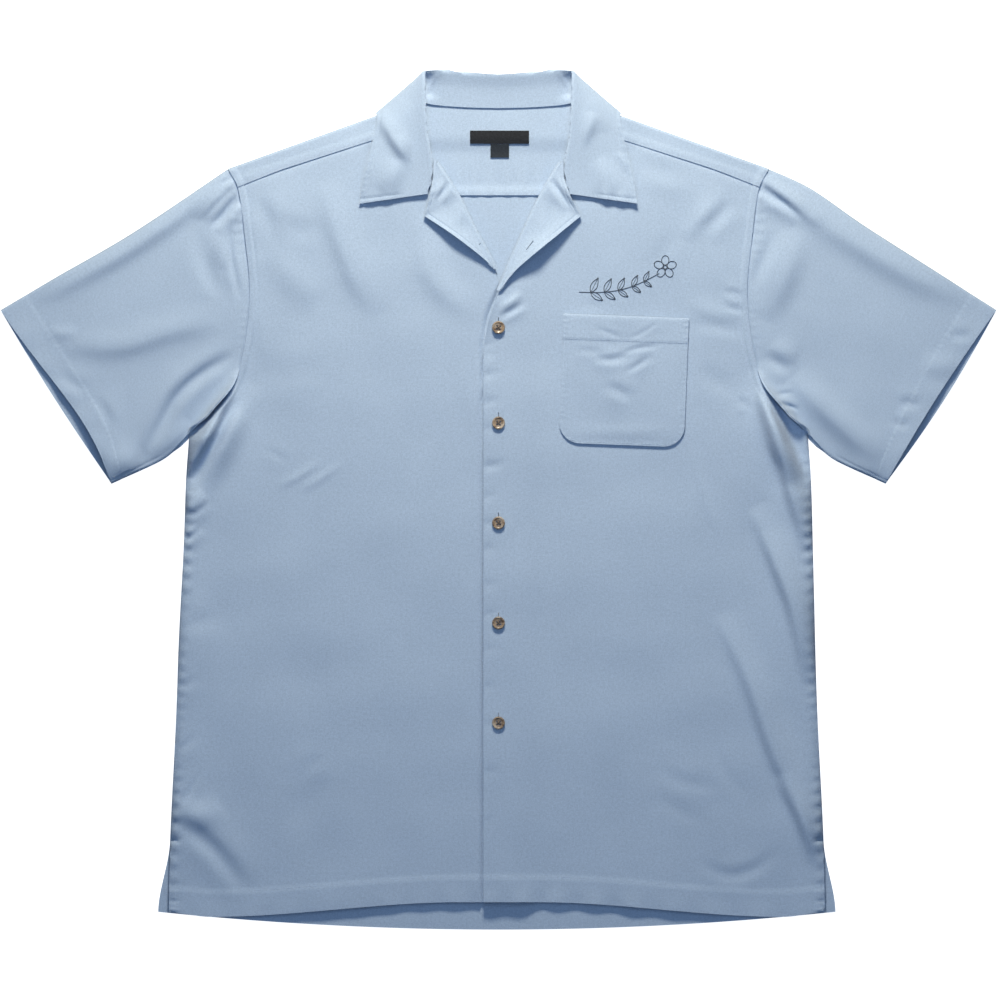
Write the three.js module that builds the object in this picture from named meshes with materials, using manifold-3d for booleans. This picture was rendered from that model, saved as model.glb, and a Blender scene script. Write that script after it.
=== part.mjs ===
// A camp shirt laid flat, front up, with its five buttons done up and its collar open.
// Millimetres. +X runs to the wearer's left, +Y from the hem to the collar, and +Z up from the surface it lies on.
// "out" is a distance from the centre front line towards a side seam, and "y" a distance up from the back hem.
import * as THREE from "three";
import { mergeVertices } from "three/addons/utils/BufferGeometryUtils.js";
import Module from "manifold-3d";

const wasm = await Module();
wasm.setup();

// ---- Cloth ----
const CLOTH = 1.2; // one layer
const GAP = 0.3; // between neighbouring pieces
const STEP = CLOTH + GAP; // from one layer to the next
const BODY_HEM_CLOTH = 1.5; // where the body's hem is turned up
const SLEEVE_HEM_CLOTH = 1.8; // where a sleeve's hem is turned up
const COLLAR_CLOTH = 1.6; // the collar is two layers sewn together

// ---- Body ----
const OVERLAP = 14.5; // how far each front runs past the centre
const BODY_HEM = 24.5;
const VENT_TOP = 86;
const UNDERARM = { out: 296.6, y: 478.7 };
const SHOULDER_TIP = { out: 259.7, y: 730.4 };
const SHOULDER_NECK = { out: 86.4, y: 792.6 };
const YOKE_FRONT_TIP = { out: 250.5, y: 713 };
const YOKE_FRONT_NECK = { out: 86.4, y: 768.9 };
const YOKE_BACK_Y = 705;
const FRONT_HEM = { centre: 26.3, low: 12.2, lowOut: 273, corner: 16.4, cornerOut: 313.4, flatOut: 38 };
const BACK_HEM = { corner: 17.1, cornerOut: 323.5 };
const NECK_SEAM = { y: 788.7, sideY: 791.8, sideOut: 70 };

// Edges of the body, each given from the hem up.
const SIDE_SEAM = [
  { y: FRONT_HEM.corner, out: FRONT_HEM.cornerOut },
  { y: VENT_TOP, out: 312 },
  { y: 215, out: 305.8 },
  { y: 345, out: 302.3 },
  { y: 430, out: 300 },
  { y: UNDERARM.y, out: UNDERARM.out },
];
const ARMHOLE = [
  { y: UNDERARM.y, out: UNDERARM.out },
  { y: 493, out: 277.4 },
  { y: 532.5, out: 251 },
  { y: 604.5, out: 239 },
  { y: 675.5, out: 244.6 },
  { y: YOKE_FRONT_TIP.y, out: YOKE_FRONT_TIP.out },
  { y: SHOULDER_TIP.y, out: SHOULDER_TIP.out },
];
// The front edge up to the break, then the roll of the lapel, then the neck seam under the collar.
const FRONT_EDGES = {
  right: [
    { y: 560, out: -OVERLAP },
    { y: 623, out: 0.4 },
    { y: 644, out: 9.1 },
    { y: 676, out: 26.4 },
    { y: 703, out: 39.5 },
    { y: 739, out: 63 },
    { y: YOKE_FRONT_NECK.y, out: YOKE_FRONT_NECK.out },
  ],
  left: [
    { y: 560, out: -OVERLAP },
    { y: 585, out: -9 },
    { y: 612, out: 0.6 },
    { y: 661, out: 21.6 },
    { y: 703, out: 41.4 },
    { y: 739, out: 63 },
    { y: YOKE_FRONT_NECK.y, out: YOKE_FRONT_NECK.out },
  ],
};

// ---- Sleeves ----
const SLEEVE_HEM = 26;
const SLEEVE_TOP = [
  SHOULDER_TIP,
  { out: 351.4, y: 676 },
  { out: 426.7, y: 632.3 },
  { out: 478.1, y: 594.8 },
];
const SLEEVE_UNDER = [
  UNDERARM,
  { out: 305.3, y: 464.3 },
  { out: 323.5, y: 448.9 },
  { out: 371.5, y: 428.1 },
];
const SLEEVE_SEAM_GAP = { shoulder: 0.45, underarm: 2.2 }; // wider where the seam turns under the arm
const SLEEVE_MOUTH = 7; // how far the cuff's upper layer stands off the lower one

// ---- Lapels: the outer edge of each, from the break up to the corner, and the notch under the collar ----
const LAPELS = {
  right: {
    breakY: 634,
    lift: 6.5,
    edge: [
      { out: 7.4, y: 637.5 },
      { out: 21.1, y: 649.5 },
      { out: 45.6, y: 668 },
      { out: 71.3, y: 685.1 },
    ],
    notch: { out: 66.4, y: 703.2 },
  },
  left: {
    breakY: 613,
    lift: 9,
    edge: [
      { out: 3.2, y: 615.5 },
      { out: 19.3, y: 635.1 },
      { out: 58.5, y: 668 },
      { out: 79.2, y: 685.1 },
    ],
    notch: { out: 69.5, y: 703.2 },
  },
};
const LAPEL_CORNER_ROLL_Y = 701; // where the roll is level with the lapel's corner

// ---- Collar: one row for each section across it, from the front end of a leaf round to the centre back ----
// seam is where it is sewn to the neck, roll the fold along its length, and outer its free edge.
const COLLAR = [
  { seam: [72, 706, 7.2], roll: [69.3, 706.2, 9], outer: [133.4, 696.9, 6.4], drop: 1.2 },
  { seam: [70, 722, 7.4], roll: [65, 721.5, 9.6], outer: [130.4, 716, 6.2], drop: 1.2 },
  { seam: [72, 741, 7.6], roll: [64.4, 740.7, 10.6], outer: [126.2, 735, 6.8], drop: 1.3 },
  { seam: [84, 768, 7.8], roll: [68.5, 765.7, 12.2], outer: [121, 757, 7], drop: 1.4 },
  { seam: [88, 786, 7.2], roll: [69.8, 790.7, 13.4], outer: [118, 771, 6.8], drop: 1.5 },
  { seam: [87, 792, 6.6], roll: [70.8, 812, 13.2], outer: [116.6, 780, 5.6], drop: 1.6 },
  { seam: [80, 796, 5.6], roll: [70.8, 823.2, 12], outer: [117.4, 783.4, 3.2], drop: 2.2 },
  { seam: [72, 794, 4.8], roll: [67, 824.8, 11], outer: [113.6, 778.6, 0.8], drop: 4 },
  { seam: [58, 791.4, 4.7], roll: [54, 825.2, 10.4], outer: [93, 769, 0.8], drop: 5 },
  { seam: [30, 789.4, 4.7], roll: [30, 822.6, 10.2], outer: [48, 766, 0.8], drop: 5 },
  { seam: [0, 788.7, 4.7], roll: [0, 820.9, 10.2], outer: [0, 765, 0.8], drop: 5 },
];
const COLLAR_STAND_POINTS = 3;
const COLLAR_FALL_POINTS = 6;

// The yoke and the fronts lie over the collar where it runs round behind the neck.
const NECK_RISE = { height: 2.1, fromY: 744, fullY: 762, fullOut: 118, toOut: 136 };

// ---- Pocket, labels and buttons ----
const POCKET = { out: 120.2, y: 527.2, width: 120.5, height: 124, radius: 20, turn: -2.2 };
const LABEL = { out: 1, y: 760.7, width: 56.6, height: 12.6, cloth: 1 };
const SIZE_TAB = { out: 1.2, y: 747.6, width: 17.8, height: 12.9, cloth: 1 };
const PATCH_CLEARANCE = GAP + 0.15; // between a patch and the curved cloth it lies on
const BUTTON = { radius: 6, foot: 4.6, side: 0.9, top: 2.9, edge: 0.7, dishTop: 4.5, dish: 3.7, bowl: 2 };
const BUTTON_HOLE = { radius: 0.85, out: 1.5 };
const BUTTON_TOP_Y = 578;
const BUTTON_SECOND_Y = 486.3;
const BUTTON_PITCH = 96;
const BUTTON_COUNT = 5;
const BUTTON_CLEARANCE = GAP + 0.2;

// ---- How high the upper layer stands over the lower one ----
const BACK_HEIGHT = CLOTH / 2;
const FRONT_HEIGHT = BACK_HEIGHT + STEP;
const BODY_LOFT = 2.4;
const LOFT_REACH = 34; // distance from an edge over which the cloth comes up to its loft
const ARMHOLE_LOFT = 1.2;
const SLEEVE_LOFT = 2;
const OVERLAP_RISE = 1.8; // the left front lies on the right one
const OVERLAP_REACH = 46;
const OVERLAP_ENDS = { from: 615, to: 680 };
const TROUGH_FLOOR = 0.15; // share of the loft that is left under the deepest trough

// The largest folds of the upper layer, by their two ends, their half width and their height (a trough is negative).
const FOLDS = [
  { name: "right armpit trough", x: -263, y: 510, toX: -296, toY: 430, width: 9, height: -2.6 },
  { name: "right armpit ridge", x: -246, y: 505, toX: -277, toY: 420, width: 11, height: 3.2 },
  { name: "right sleeve ridge", x: -262, y: 545, toX: -335, toY: 448, width: 13, height: 3.4 },
  { name: "right sleeve trough", x: -290, y: 555, toX: -350, toY: 470, width: 12, height: -1.8 },
  { name: "left armpit trough", x: 256, y: 508, toX: 290, toY: 440, width: 9, height: -2.6 },
  { name: "left armpit ridge", x: 240, y: 506, toX: 279, toY: 418, width: 11, height: 3.2 },
  { name: "left sleeve ridge", x: 262, y: 530, toX: 322, toY: 455, width: 12, height: 2.8 },
  { name: "left side fold", x: 257, y: 372, toX: 296, toY: 236, width: 12, height: 2.4 },
  { name: "right chest trough", x: -172, y: 708, toX: -126, toY: 606, width: 17, height: -1.6 },
  { name: "left chest trough", x: 230, y: 716, toX: 158, toY: 640, width: 18, height: -1.9 },
  { name: "right hem fold", x: -292, y: 96, toX: -250, toY: 40, width: 12, height: 2 },
];

// ---- Heights and curves ----
const ramp = (value, from, to) => THREE.MathUtils.smoothstep(value, Math.min(from, to), Math.max(from, to));
const rampDown = (value, from, to) => 1 - ramp(value, from, to);

/** The smooth curve through a table of { y, out } rows, read at a height y. */
function outAt(rows, y) {
  const last = rows.length - 1;
  if (y <= rows[0].y) return rows[0].out;
  if (y >= rows[last].y) return rows[last].out;
  const i = rows.findIndex((row) => row.y > y) - 1;
  const slope = (k) => {
    const a = rows[Math.max(k - 1, 0)];
    const b = rows[Math.min(k + 1, last)];
    return (b.out - a.out) / (b.y - a.y);
  };
  const span = rows[i + 1].y - rows[i].y;
  const t = (y - rows[i].y) / span;
  const rise = t * t * (3 - 2 * t);
  const start = t * (1 - t) * (1 - t) * span * slope(i);
  const end = t * t * (t - 1) * span * slope(i + 1);
  return rows[i].out + (rows[i + 1].out - rows[i].out) * rise + start + end;
}

/** Evenly spaced numbers from one value to another, both kept. */
const steps = (from, to, count) => Array.from({ length: count + 1 }, (_, k) => from + ((to - from) * k) / count);

// Every piece that meets the armhole has a corner at each of these heights, so that the seam fits all round.
const ARMHOLE_YS = [...steps(UNDERARM.y, YOKE_FRONT_TIP.y, 11), SHOULDER_TIP.y];

/** The armhole seam, straight between its corners. */
function armholeOut(y) {
  const top = ARMHOLE_YS.findIndex((corner) => corner >= y - 1e-6);
  if (top <= 0) return outAt(ARMHOLE, y);
  const [from, to] = [ARMHOLE_YS[top - 1], ARMHOLE_YS[top]];
  return THREE.MathUtils.lerp(outAt(ARMHOLE, from), outAt(ARMHOLE, to), (y - from) / (to - from));
}

/** The front edge, roll and neck seam of a front. */
const frontEdge = (side, y) => outAt(side > 0 ? FRONT_EDGES.left : FRONT_EDGES.right, y);

/** The outer edge of the body: its side seam below the underarm and its armhole above. */
const bodyEdge = (y) => (y < UNDERARM.y ? outAt(SIDE_SEAM, y) : armholeOut(y));

/** The fold of the shoulder, which runs in a straight line from the neck to the armhole. */
function shoulderY(out) {
  const share = (out - SHOULDER_NECK.out) / (SHOULDER_TIP.out - SHOULDER_NECK.out);
  return THREE.MathUtils.lerp(SHOULDER_NECK.y, SHOULDER_TIP.y, share);
}

/** The seam where the collar's stand meets the yoke behind the neck. */
const neckSeamY = (out) => NECK_SEAM.y + (NECK_SEAM.sideY - NECK_SEAM.y) * (out / NECK_SEAM.sideOut) ** 2;

/** The lift of a fold at a point, gone at its two ends and beyond its width. */
function foldHeight(fold, x, y) {
  const along = { x: fold.toX - fold.x, y: fold.toY - fold.y };
  const length = Math.hypot(along.x, along.y);
  const t = ((x - fold.x) * along.x + (y - fold.y) * along.y) / length ** 2;
  if (t <= 0 || t >= 1) return 0;
  const away = ((x - fold.x) * along.y - (y - fold.y) * along.x) / length;
  return fold.height * Math.sin(Math.PI * t) * Math.exp(-((away / fold.width) ** 2));
}

/** How far the yoke and fronts are lifted by the collar that runs behind the neck. */
function neckRise(x, y) {
  const { height, fromY, fullY, fullOut, toOut } = NECK_RISE;
  return height * ramp(y, fromY, fullY) * rampDown(Math.abs(x), fullOut, toOut);
}

/** The middle of the lower layer. */
const backHeight = (x, y) => BACK_HEIGHT + neckRise(x, y);

/** The middle of the upper layer, for a point that is inset from the nearest edge of its piece. */
function upperHeight(x, y, edgeLoft, loft, inset) {
  const puff = edgeLoft + (loft - edgeLoft) * (1 - Math.exp(-inset / LOFT_REACH));
  const folds = FOLDS.reduce((sum, fold) => sum + foldHeight(fold, x, y), 0);
  const shown = puff + folds * (1 - Math.exp(-inset / (LOFT_REACH / 2)));
  return FRONT_HEIGHT + neckRise(x, y) + Math.max(shown, puff * TROUGH_FLOOR);
}

/** The lift of the armhole seam, from nothing at the underarm to nothing at the shoulder. */
function armholeLoft(y) {
  const t = THREE.MathUtils.clamp((y - UNDERARM.y) / (SHOULDER_TIP.y - UNDERARM.y), 0, 1);
  return ARMHOLE_LOFT * Math.sin(Math.PI * t);
}

/** The middle of the body's upper layer: the fronts, and the strip of the yoke above them. */
function bodyHeight(x, y) {
  const inset = Math.max(Math.min(bodyEdge(y) - Math.abs(x), shoulderY(Math.abs(x)) - y), 0);
  return upperHeight(x, y, armholeLoft(y), BODY_LOFT, inset);
}

/** The middle of a front. The left one rises over the edge of the right one as far up as the lapels. */
function frontHeight(side, x, y) {
  const overlap = rampDown(x, OVERLAP + 2, OVERLAP_REACH) * rampDown(y, OVERLAP_ENDS.from, OVERLAP_ENDS.to);
  return bodyHeight(x, y) + (side > 0 ? OVERLAP_RISE * overlap : 0);
}

/** How far a turned-up hem lifts the upper layer: by its own extra cloth and by that of the layer below it. */
const hemRise = (hemCloth) => (hemCloth - CLOTH) * 1.5;

// ---- Walls of cloth ----
const point = (x, y, z) => new THREE.Vector3(x, y, z);

/** The cloth's normal at each point of a grid; a tube's grid closes on itself along its rows. */
function normalsOf(grid, around) {
  const last = grid[0].length - 1;
  const column = (j) => (around ? (j + last + 1) % (last + 1) : THREE.MathUtils.clamp(j, 0, last));
  return grid.map((row, i) =>
    row.map((_, j) => {
      const across = row[column(j + 1)].clone().sub(row[column(j - 1)]);
      const along = grid[Math.min(i + 1, grid.length - 1)][j].clone().sub(grid[Math.max(i - 1, 0)][j]);
      return across.cross(along).normalize();
    }),
  );
}

/**
 * A closed wall whose middle is a grid of points. Its thickness is a number, or a function of the row. An upright
 * wall is thickened straight up and down, so that its outline stays as drawn, and a round one closes on itself.
 */
function clothWall(grid, { thickness = CLOTH, upright = false, around = false } = {}) {
  const rows = grid.length;
  const columns = grid[0].length;
  const thick = typeof thickness === "function" ? thickness : () => thickness;
  const normals = normalsOf(grid, around);
  const up = new THREE.Vector3(0, 0, 1);
  const positions = [];
  for (const face of [1, -1]) {
    grid.forEach((row, i) =>
      row.forEach((p, j) => {
        const normal = upright ? up : normals[i][j];
        positions.push(...p.clone().addScaledVector(normal, (face * thick(i)) / 2).toArray());
      }),
    );
  }
  const at = (face, i, j) => face * rows * columns + i * columns + (j % columns);
  const faces = [];
  const quad = (a, b, c, d) => faces.push(a, b, c, a, c, d);
  const spans = around ? columns : columns - 1;
  for (let i = 0; i < rows - 1; i++) {
    for (let j = 0; j < spans; j++) {
      quad(at(0, i, j), at(0, i, j + 1), at(0, i + 1, j + 1), at(0, i + 1, j));
      quad(at(1, i, j), at(1, i + 1, j), at(1, i + 1, j + 1), at(1, i, j + 1));
    }
  }
  for (let j = 0; j < spans; j++) {
    quad(at(0, 0, j), at(1, 0, j), at(1, 0, j + 1), at(0, 0, j + 1));
    quad(at(0, rows - 1, j), at(0, rows - 1, j + 1), at(1, rows - 1, j + 1), at(1, rows - 1, j));
  }
  for (let i = 0; i < rows - 1 && !around; i++) {
    quad(at(0, i, 0), at(0, i + 1, 0), at(1, i + 1, 0), at(1, i, 0));
    quad(at(0, i, spans), at(1, i, spans), at(1, i + 1, spans), at(0, i + 1, spans));
  }
  return outwards(positions, faces);
}

/** A geometry with its faces turned outwards, whichever hand its grid was laid out in. */
function outwards(positions, faces) {
  const corner = (k) => new THREE.Vector3().fromArray(positions, faces[k] * 3);
  let volume = 0;
  for (let k = 0; k < faces.length; k += 3) volume += corner(k).dot(corner(k + 1).cross(corner(k + 2)));
  const turned = volume < 0 ? faces.slice().reverse() : faces;
  const geometry = new THREE.BufferGeometry();
  geometry.setAttribute("position", new THREE.Float32BufferAttribute(positions, 3));
  geometry.setIndex(turned);
  return geometry;
}

/** A closed geometry as a solid that can be cut and joined. */
function solidOf(geometry) {
  const bare = new THREE.BufferGeometry();
  bare.setAttribute("position", geometry.getAttribute("position"));
  bare.setIndex(geometry.index);
  const merged = mergeVertices(bare, 1e-4);
  return new wasm.Manifold(
    new wasm.Mesh({
      numProp: 3,
      vertProperties: merged.attributes.position.array,
      triVerts: new Uint32Array(merged.index.array),
    }),
  );
}

/** The geometry of a solid. */
function geometryOf(solid) {
  const { numProp, vertProperties, triVerts } = solid.getMesh();
  const positions = [];
  for (let k = 0; k < vertProperties.length; k += numProp) positions.push(...vertProperties.slice(k, k + 3));
  const geometry = new THREE.BufferGeometry();
  geometry.setAttribute("position", new THREE.Float32BufferAttribute(positions, 3));
  geometry.setIndex([...triVerts]);
  return geometry;
}

// ---- Fronts ----
const FRONT_COLUMNS = 15;
const FRONT_LOWER_ROWS = 13;
const FRONT_UNDERARM_INNER_Y = 505; // where the row from the underarm reaches the front edge

/** The front hem's height above the back hem's lowest point. */
function frontHemY(out) {
  const { centre, low, lowOut, corner, cornerOut, flatOut } = FRONT_HEM;
  return centre - (centre - low) * ramp(out, flatOut, lowOut) + (corner - low) * ramp(out, lowOut, cornerOut);
}

/** The rows of a front, each by the heights of its ends at the side and at the front edge. */
function frontRows() {
  const hemTop = { outer: FRONT_HEM.corner + BODY_HEM, inner: FRONT_HEM.centre + BODY_HEM };
  const mid = { outer: UNDERARM.y, inner: FRONT_UNDERARM_INNER_Y };
  const top = { outer: YOKE_FRONT_TIP.y - GAP, inner: YOKE_FRONT_NECK.y - GAP };
  const between = (from, to, count) =>
    steps(0, 1, count).map((t) => ({
      outer: THREE.MathUtils.lerp(from.outer, to.outer, t),
      inner: THREE.MathUtils.lerp(from.inner, to.inner, t),
    }));
  return [
    { outer: FRONT_HEM.corner, inner: FRONT_HEM.centre, hem: true },
    { ...hemTop, hem: true },
    { outer: hemTop.outer + 1, inner: hemTop.inner + 1 },
    ...between(hemTop, mid, FRONT_LOWER_ROWS).slice(1),
    ...ARMHOLE_YS.slice(1, -1).map((y, k) => ({
      outer: Math.min(y, top.outer),
      inner: THREE.MathUtils.lerp(mid.inner, top.inner, (k + 1) / (ARMHOLE_YS.length - 2)),
    })),
  ];
}

/** The flat part of a front, from its side seam and armhole to its edge and the roll of its lapel. */
function frontPanel(side) {
  const rows = frontRows();
  const grid = rows.map(({ outer, inner }, i) => {
    const outerX = bodyEdge(outer);
    const innerX = frontEdge(side, inner);
    const hemPull = rampDown(inner, FRONT_HEM.centre, UNDERARM.y / 2);
    return steps(0, 1, FRONT_COLUMNS).map((t) => {
      const out = THREE.MathUtils.lerp(outerX, innerX, t);
      const straightHem = THREE.MathUtils.lerp(FRONT_HEM.corner, FRONT_HEM.centre, t);
      const y = THREE.MathUtils.lerp(outer, inner, t) + (frontHemY(out) - straightHem) * hemPull;
      return point(side * out, y, frontHeight(side, side * out, y) + (rows[i].hem ? hemRise(BODY_HEM_CLOTH) : 0));
    });
  });
  return clothWall(grid, { thickness: (i) => (rows[i].hem ? BODY_HEM_CLOTH : CLOTH), upright: true });
}

const ROLL_RADIUS = 1.1; // of the turn of the front's own layer at the roll of the lapel
const GORGE_GAP = 2.2; // from the lapel's top edge to the middle of the collar's roll

/** One layer of a lapel, turned back over the roll: layer 0 is the front itself and layer 1 the facing on it. */
function lapelGrid(side, { breakY, lift, edge, notch }, layer) {
  const roll = ROLL_RADIUS + STEP * layer;
  const edgeCurve = new THREE.SplineCurve(edge.map(({ out, y }) => new THREE.Vector2(out, y)));
  const gorge = COLLAR.slice(1, 3).map(({ roll: [out, y] }) => new THREE.Vector2(out - GORGE_GAP, y));
  const rim = steps(0, 1, 7).map((t) => ({
    at: edgeCurve.getPoint(t),
    rollY: THREE.MathUtils.lerp(breakY, LAPEL_CORNER_ROLL_Y, t),
    raise: 0.35 + 0.65 * Math.sin(Math.PI * Math.min(t, 0.8)),
  }));
  rim.push({ at: new THREE.Vector2(notch.out, notch.y), rollY: 712, raise: 0.3 });
  rim.push({ at: gorge[0], rollY: 724, raise: 0.12 }, { at: gorge[1], rollY: 735, raise: 0 });
  return rim.map(({ at, rollY, raise }) => {
    const from = new THREE.Vector2(frontEdge(side, rollY), rollY);
    const along = new THREE.Vector2(frontEdge(side, rollY + 2) - from.x, 2).normalize();
    const away = new THREE.Vector2(along.y, -along.x);
    const base = frontHeight(side, side * from.x, from.y);
    const place = (plan, z) => point(side * plan.x, plan.y, z);
    const turn = [-0.5, -0.25, 0, 0.25, 0.5].map((share) => {
      const angle = Math.PI * share;
      const plan = from.clone().addScaledVector(away, -roll * Math.cos(angle));
      return place(plan, base + ROLL_RADIUS + roll * Math.sin(angle));
    });
    const slack = Math.min(at.distanceTo(from) / 30, 1);
    const flat = [0.3, 0.65, 1].map((share) =>
      place(from.clone().lerp(at, share), base + ROLL_RADIUS + roll + lift * raise * share ** 1.4 * slack),
    );
    const embedded = place(from.clone().addScaledVector(away, 1.6), base);
    return layer === 0 ? [embedded, ...turn, ...flat] : [...turn.slice(1), ...flat];
  });
}

/** A front with its lapel's lower layer. */
function front(side, lapel) {
  const flap = solidOf(clothWall(lapelGrid(side, lapel, 0), { thickness: CLOTH - 0.1 }));
  return geometryOf(solidOf(frontPanel(side)).add(flap));
}

const facing = (side, lapel) => clothWall(lapelGrid(side, lapel, 1));

// ---- Back and yoke ----
const BACK_COLUMNS = 10;
const BACK_LOWER_ROWS = 8;

/** The back hem's height above its own lowest point, at the centre. */
const backHemY = (out) => BACK_HEM.corner * (out / BACK_HEM.cornerOut) ** 2;

/** The back's side edge, which swings out beyond the front's below the vents. */
const backEdge = (y) => bodyEdge(y) + (BACK_HEM.cornerOut - FRONT_HEM.cornerOut) * rampDown(y, BACK_HEM.corner, VENT_TOP);

function backPanel() {
  const top = YOKE_BACK_Y - GAP;
  const lower = steps(BODY_HEM, UNDERARM.y, BACK_LOWER_ROWS).slice(1);
  const rows = [0, BODY_HEM, BODY_HEM + 1, ...lower, ...ARMHOLE_YS.slice(1).filter((y) => y < top), top];
  const thick = (y) => (y <= BODY_HEM ? BODY_HEM_CLOTH : CLOTH);
  const grid = rows.map((y) =>
    steps(-1, 1, BACK_COLUMNS).map((t) => {
      const hemPull = rampDown(y, 0, UNDERARM.y / 2);
      const rowY = y + backHemY(backEdge(BACK_HEM.corner) * t) * hemPull;
      return point(backEdge(rowY) * t, rowY, thick(y) / 2);
    }),
  );
  return clothWall(grid, { thickness: (i) => thick(rows[i]), upright: true });
}

const YOKE_SHOULDER_SECTIONS = 6;
const YOKE_NECK_OUTS = [0, 26, 52, 74, 84];
const YOKE_UNDER_NECK = 2; // how far the yoke runs on under the stand

/** The yoke's lower layer, from its seam with the back up to a height; outOf gives the section's line. */
function yokeLower(side, outOf, topY) {
  return steps(YOKE_BACK_Y, topY, 4).map((y) => point(side * outOf(y), y, backHeight(outOf(y), y)));
}

/** A section behind the neck, which ends under the collar's stand. */
function yokeNeckSection(side, out) {
  const top = neckSeamY(out) + YOKE_UNDER_NECK;
  const edge = [4, 3, 2, 1].map((below) => point(side * out, top - below, backHeight(out, top)));
  return [...yokeLower(side, () => out, top - 5), ...edge];
}

/** A section that comes over the shoulder and down to the front seam, at a share of the way to the armhole. */
function yokeShoulderSection(side, share) {
  const outOf = (y) => THREE.MathUtils.lerp(SHOULDER_NECK.out, armholeOut(y), share);
  const top = THREE.MathUtils.lerp(SHOULDER_NECK.y, SHOULDER_TIP.y, share);
  const seam = THREE.MathUtils.lerp(YOKE_FRONT_NECK.y, YOKE_FRONT_TIP.y, share);
  const upper = (y) => point(side * outOf(y), y, bodyHeight(side * outOf(y), y));
  const foldX = side * outOf(top);
  const fold = point(foldX, top - CLOTH / 2, (BACK_HEIGHT + FRONT_HEIGHT) / 2 + neckRise(foldX, top));
  return [...yokeLower(side, outOf, top - 3), fold, upper(top - 3), upper((top - 3 + seam) / 2), upper(seam)];
}

function yoke() {
  const half = (side) => [
    ...YOKE_NECK_OUTS.map((out) => yokeNeckSection(side, out)),
    ...steps(0, 1, YOKE_SHOULDER_SECTIONS).map((share) => yokeShoulderSection(side, share)),
  ];
  return clothWall([...half(-1).reverse(), ...half(1).slice(1)]);
}

// ---- Sleeves ----
const SLEEVE_ROWS = 6;
const SLEEVE_FOLD = 0.02; // share of the sleeve's width in which its two layers come together at each edge

/** How far a curve is from the straight line between its own ends. */
const bend = (curve, a) => curve(a).sub(curve(0).lerp(curve(1), a));

/** A sleeve: a flat tube whose two layers meet at the shoulder fold and at the underarm seam. */
function sleeve(side, bow) {
  const curve = (rows) => new THREE.SplineCurve(rows.map(({ out, y }) => new THREE.Vector2(out, y)));
  const topCurve = curve(SLEEVE_TOP);
  const underCurve = curve(SLEEVE_UNDER);
  const top = (a) => topCurve.getPointAt(a);
  const under = (a) => underCurve.getPointAt(a);
  const armhole = (t) => {
    const y = THREE.MathUtils.lerp(SHOULDER_TIP.y, UNDERARM.y, t);
    return new THREE.Vector2(armholeOut(y), y);
  };
  const seamGap = (t) => {
    const along = armhole(Math.min(t + 0.02, 1)).sub(armhole(Math.max(t - 0.02, 0))).normalize();
    const { shoulder, underarm } = SLEEVE_SEAM_GAP;
    return new THREE.Vector2(-along.y, along.x).multiplyScalar(THREE.MathUtils.lerp(shoulder, underarm, t ** 5));
  };
  const cuffStart = top(1);
  const cuffEnd = under(1);
  const inwards = new THREE.Vector2(cuffEnd.y - cuffStart.y, cuffStart.x - cuffEnd.x).normalize();
  const cuff = (pull) => (t) =>
    cuffStart.clone().lerp(cuffEnd, t).addScaledVector(inwards, pull * Math.sin(Math.PI * t ** bow.skew));
  const acrossAt = (a) => under(a).sub(top(a)).normalize();
  const length = topCurve.getLength();
  const hemStart = 1 - SLEEVE_HEM / length;
  const rows = [...steps(0, hemStart, SLEEVE_ROWS), hemStart + 0.004, 1];
  const hemmed = (a) => a > hemStart + 0.001;
  const corners = ARMHOLE_YS.map((y) => (SHOULDER_TIP.y - y) / (SHOULDER_TIP.y - UNDERARM.y));
  const across = [...corners, SLEEVE_FOLD, 1 - SLEEVE_FOLD].sort((a, b) => a - b);
  const grid = rows.map((a) => {
    const layerPoint = (t, upper) => {
      const flat = armhole(t).add(seamGap(t)).lerp(cuff(upper ? bow.depth : 0)(t), a);
      flat.addScaledVector(bend(top, a), (1 - t) ** 2).addScaledVector(bend(under, a), t ** 16);
      if (t === 0) flat.addScaledVector(acrossAt(a), CLOTH / 2);
      if (t === 1) flat.addScaledVector(acrossAt(a), -CLOTH / 2);
      const x = side * flat.x;
      const thick = hemmed(a) ? SLEEVE_HEM_CLOTH : CLOTH;
      const spread = Math.sin(Math.PI * t);
      if (!upper) return point(x, flat.y, thick / 2);
      const seam = armholeLoft(flat.y) * (1 - a) ** 2;
      const mouth = SLEEVE_MOUTH * ramp(a, 0.45, 1) * spread ** 0.8;
      const loft = SLEEVE_LOFT * spread * Math.sin(Math.PI * Math.min(a + 0.05, 1));
      const folds = FOLDS.reduce((sum, fold) => sum + foldHeight(fold, x, flat.y), 0) * spread ** 0.5;
      const z = FRONT_HEIGHT + hemRise(thick) + Math.max(seam + loft + mouth + folds, 0);
      const closing = t === 0 || t === 1 ? STEP / 2 : 0;
      return point(x, flat.y, z - closing);
    };
    const upperPoints = across.map((t) => layerPoint(t, true));
    const lowerPoints = across.slice(1, -1).map((t) => layerPoint(t, false)).reverse();
    return [...upperPoints, ...lowerPoints];
  });
  return clothWall(grid, { thickness: (i) => (hemmed(rows[i]) ? SLEEVE_HEM_CLOTH : CLOTH), around: true });
}

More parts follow.
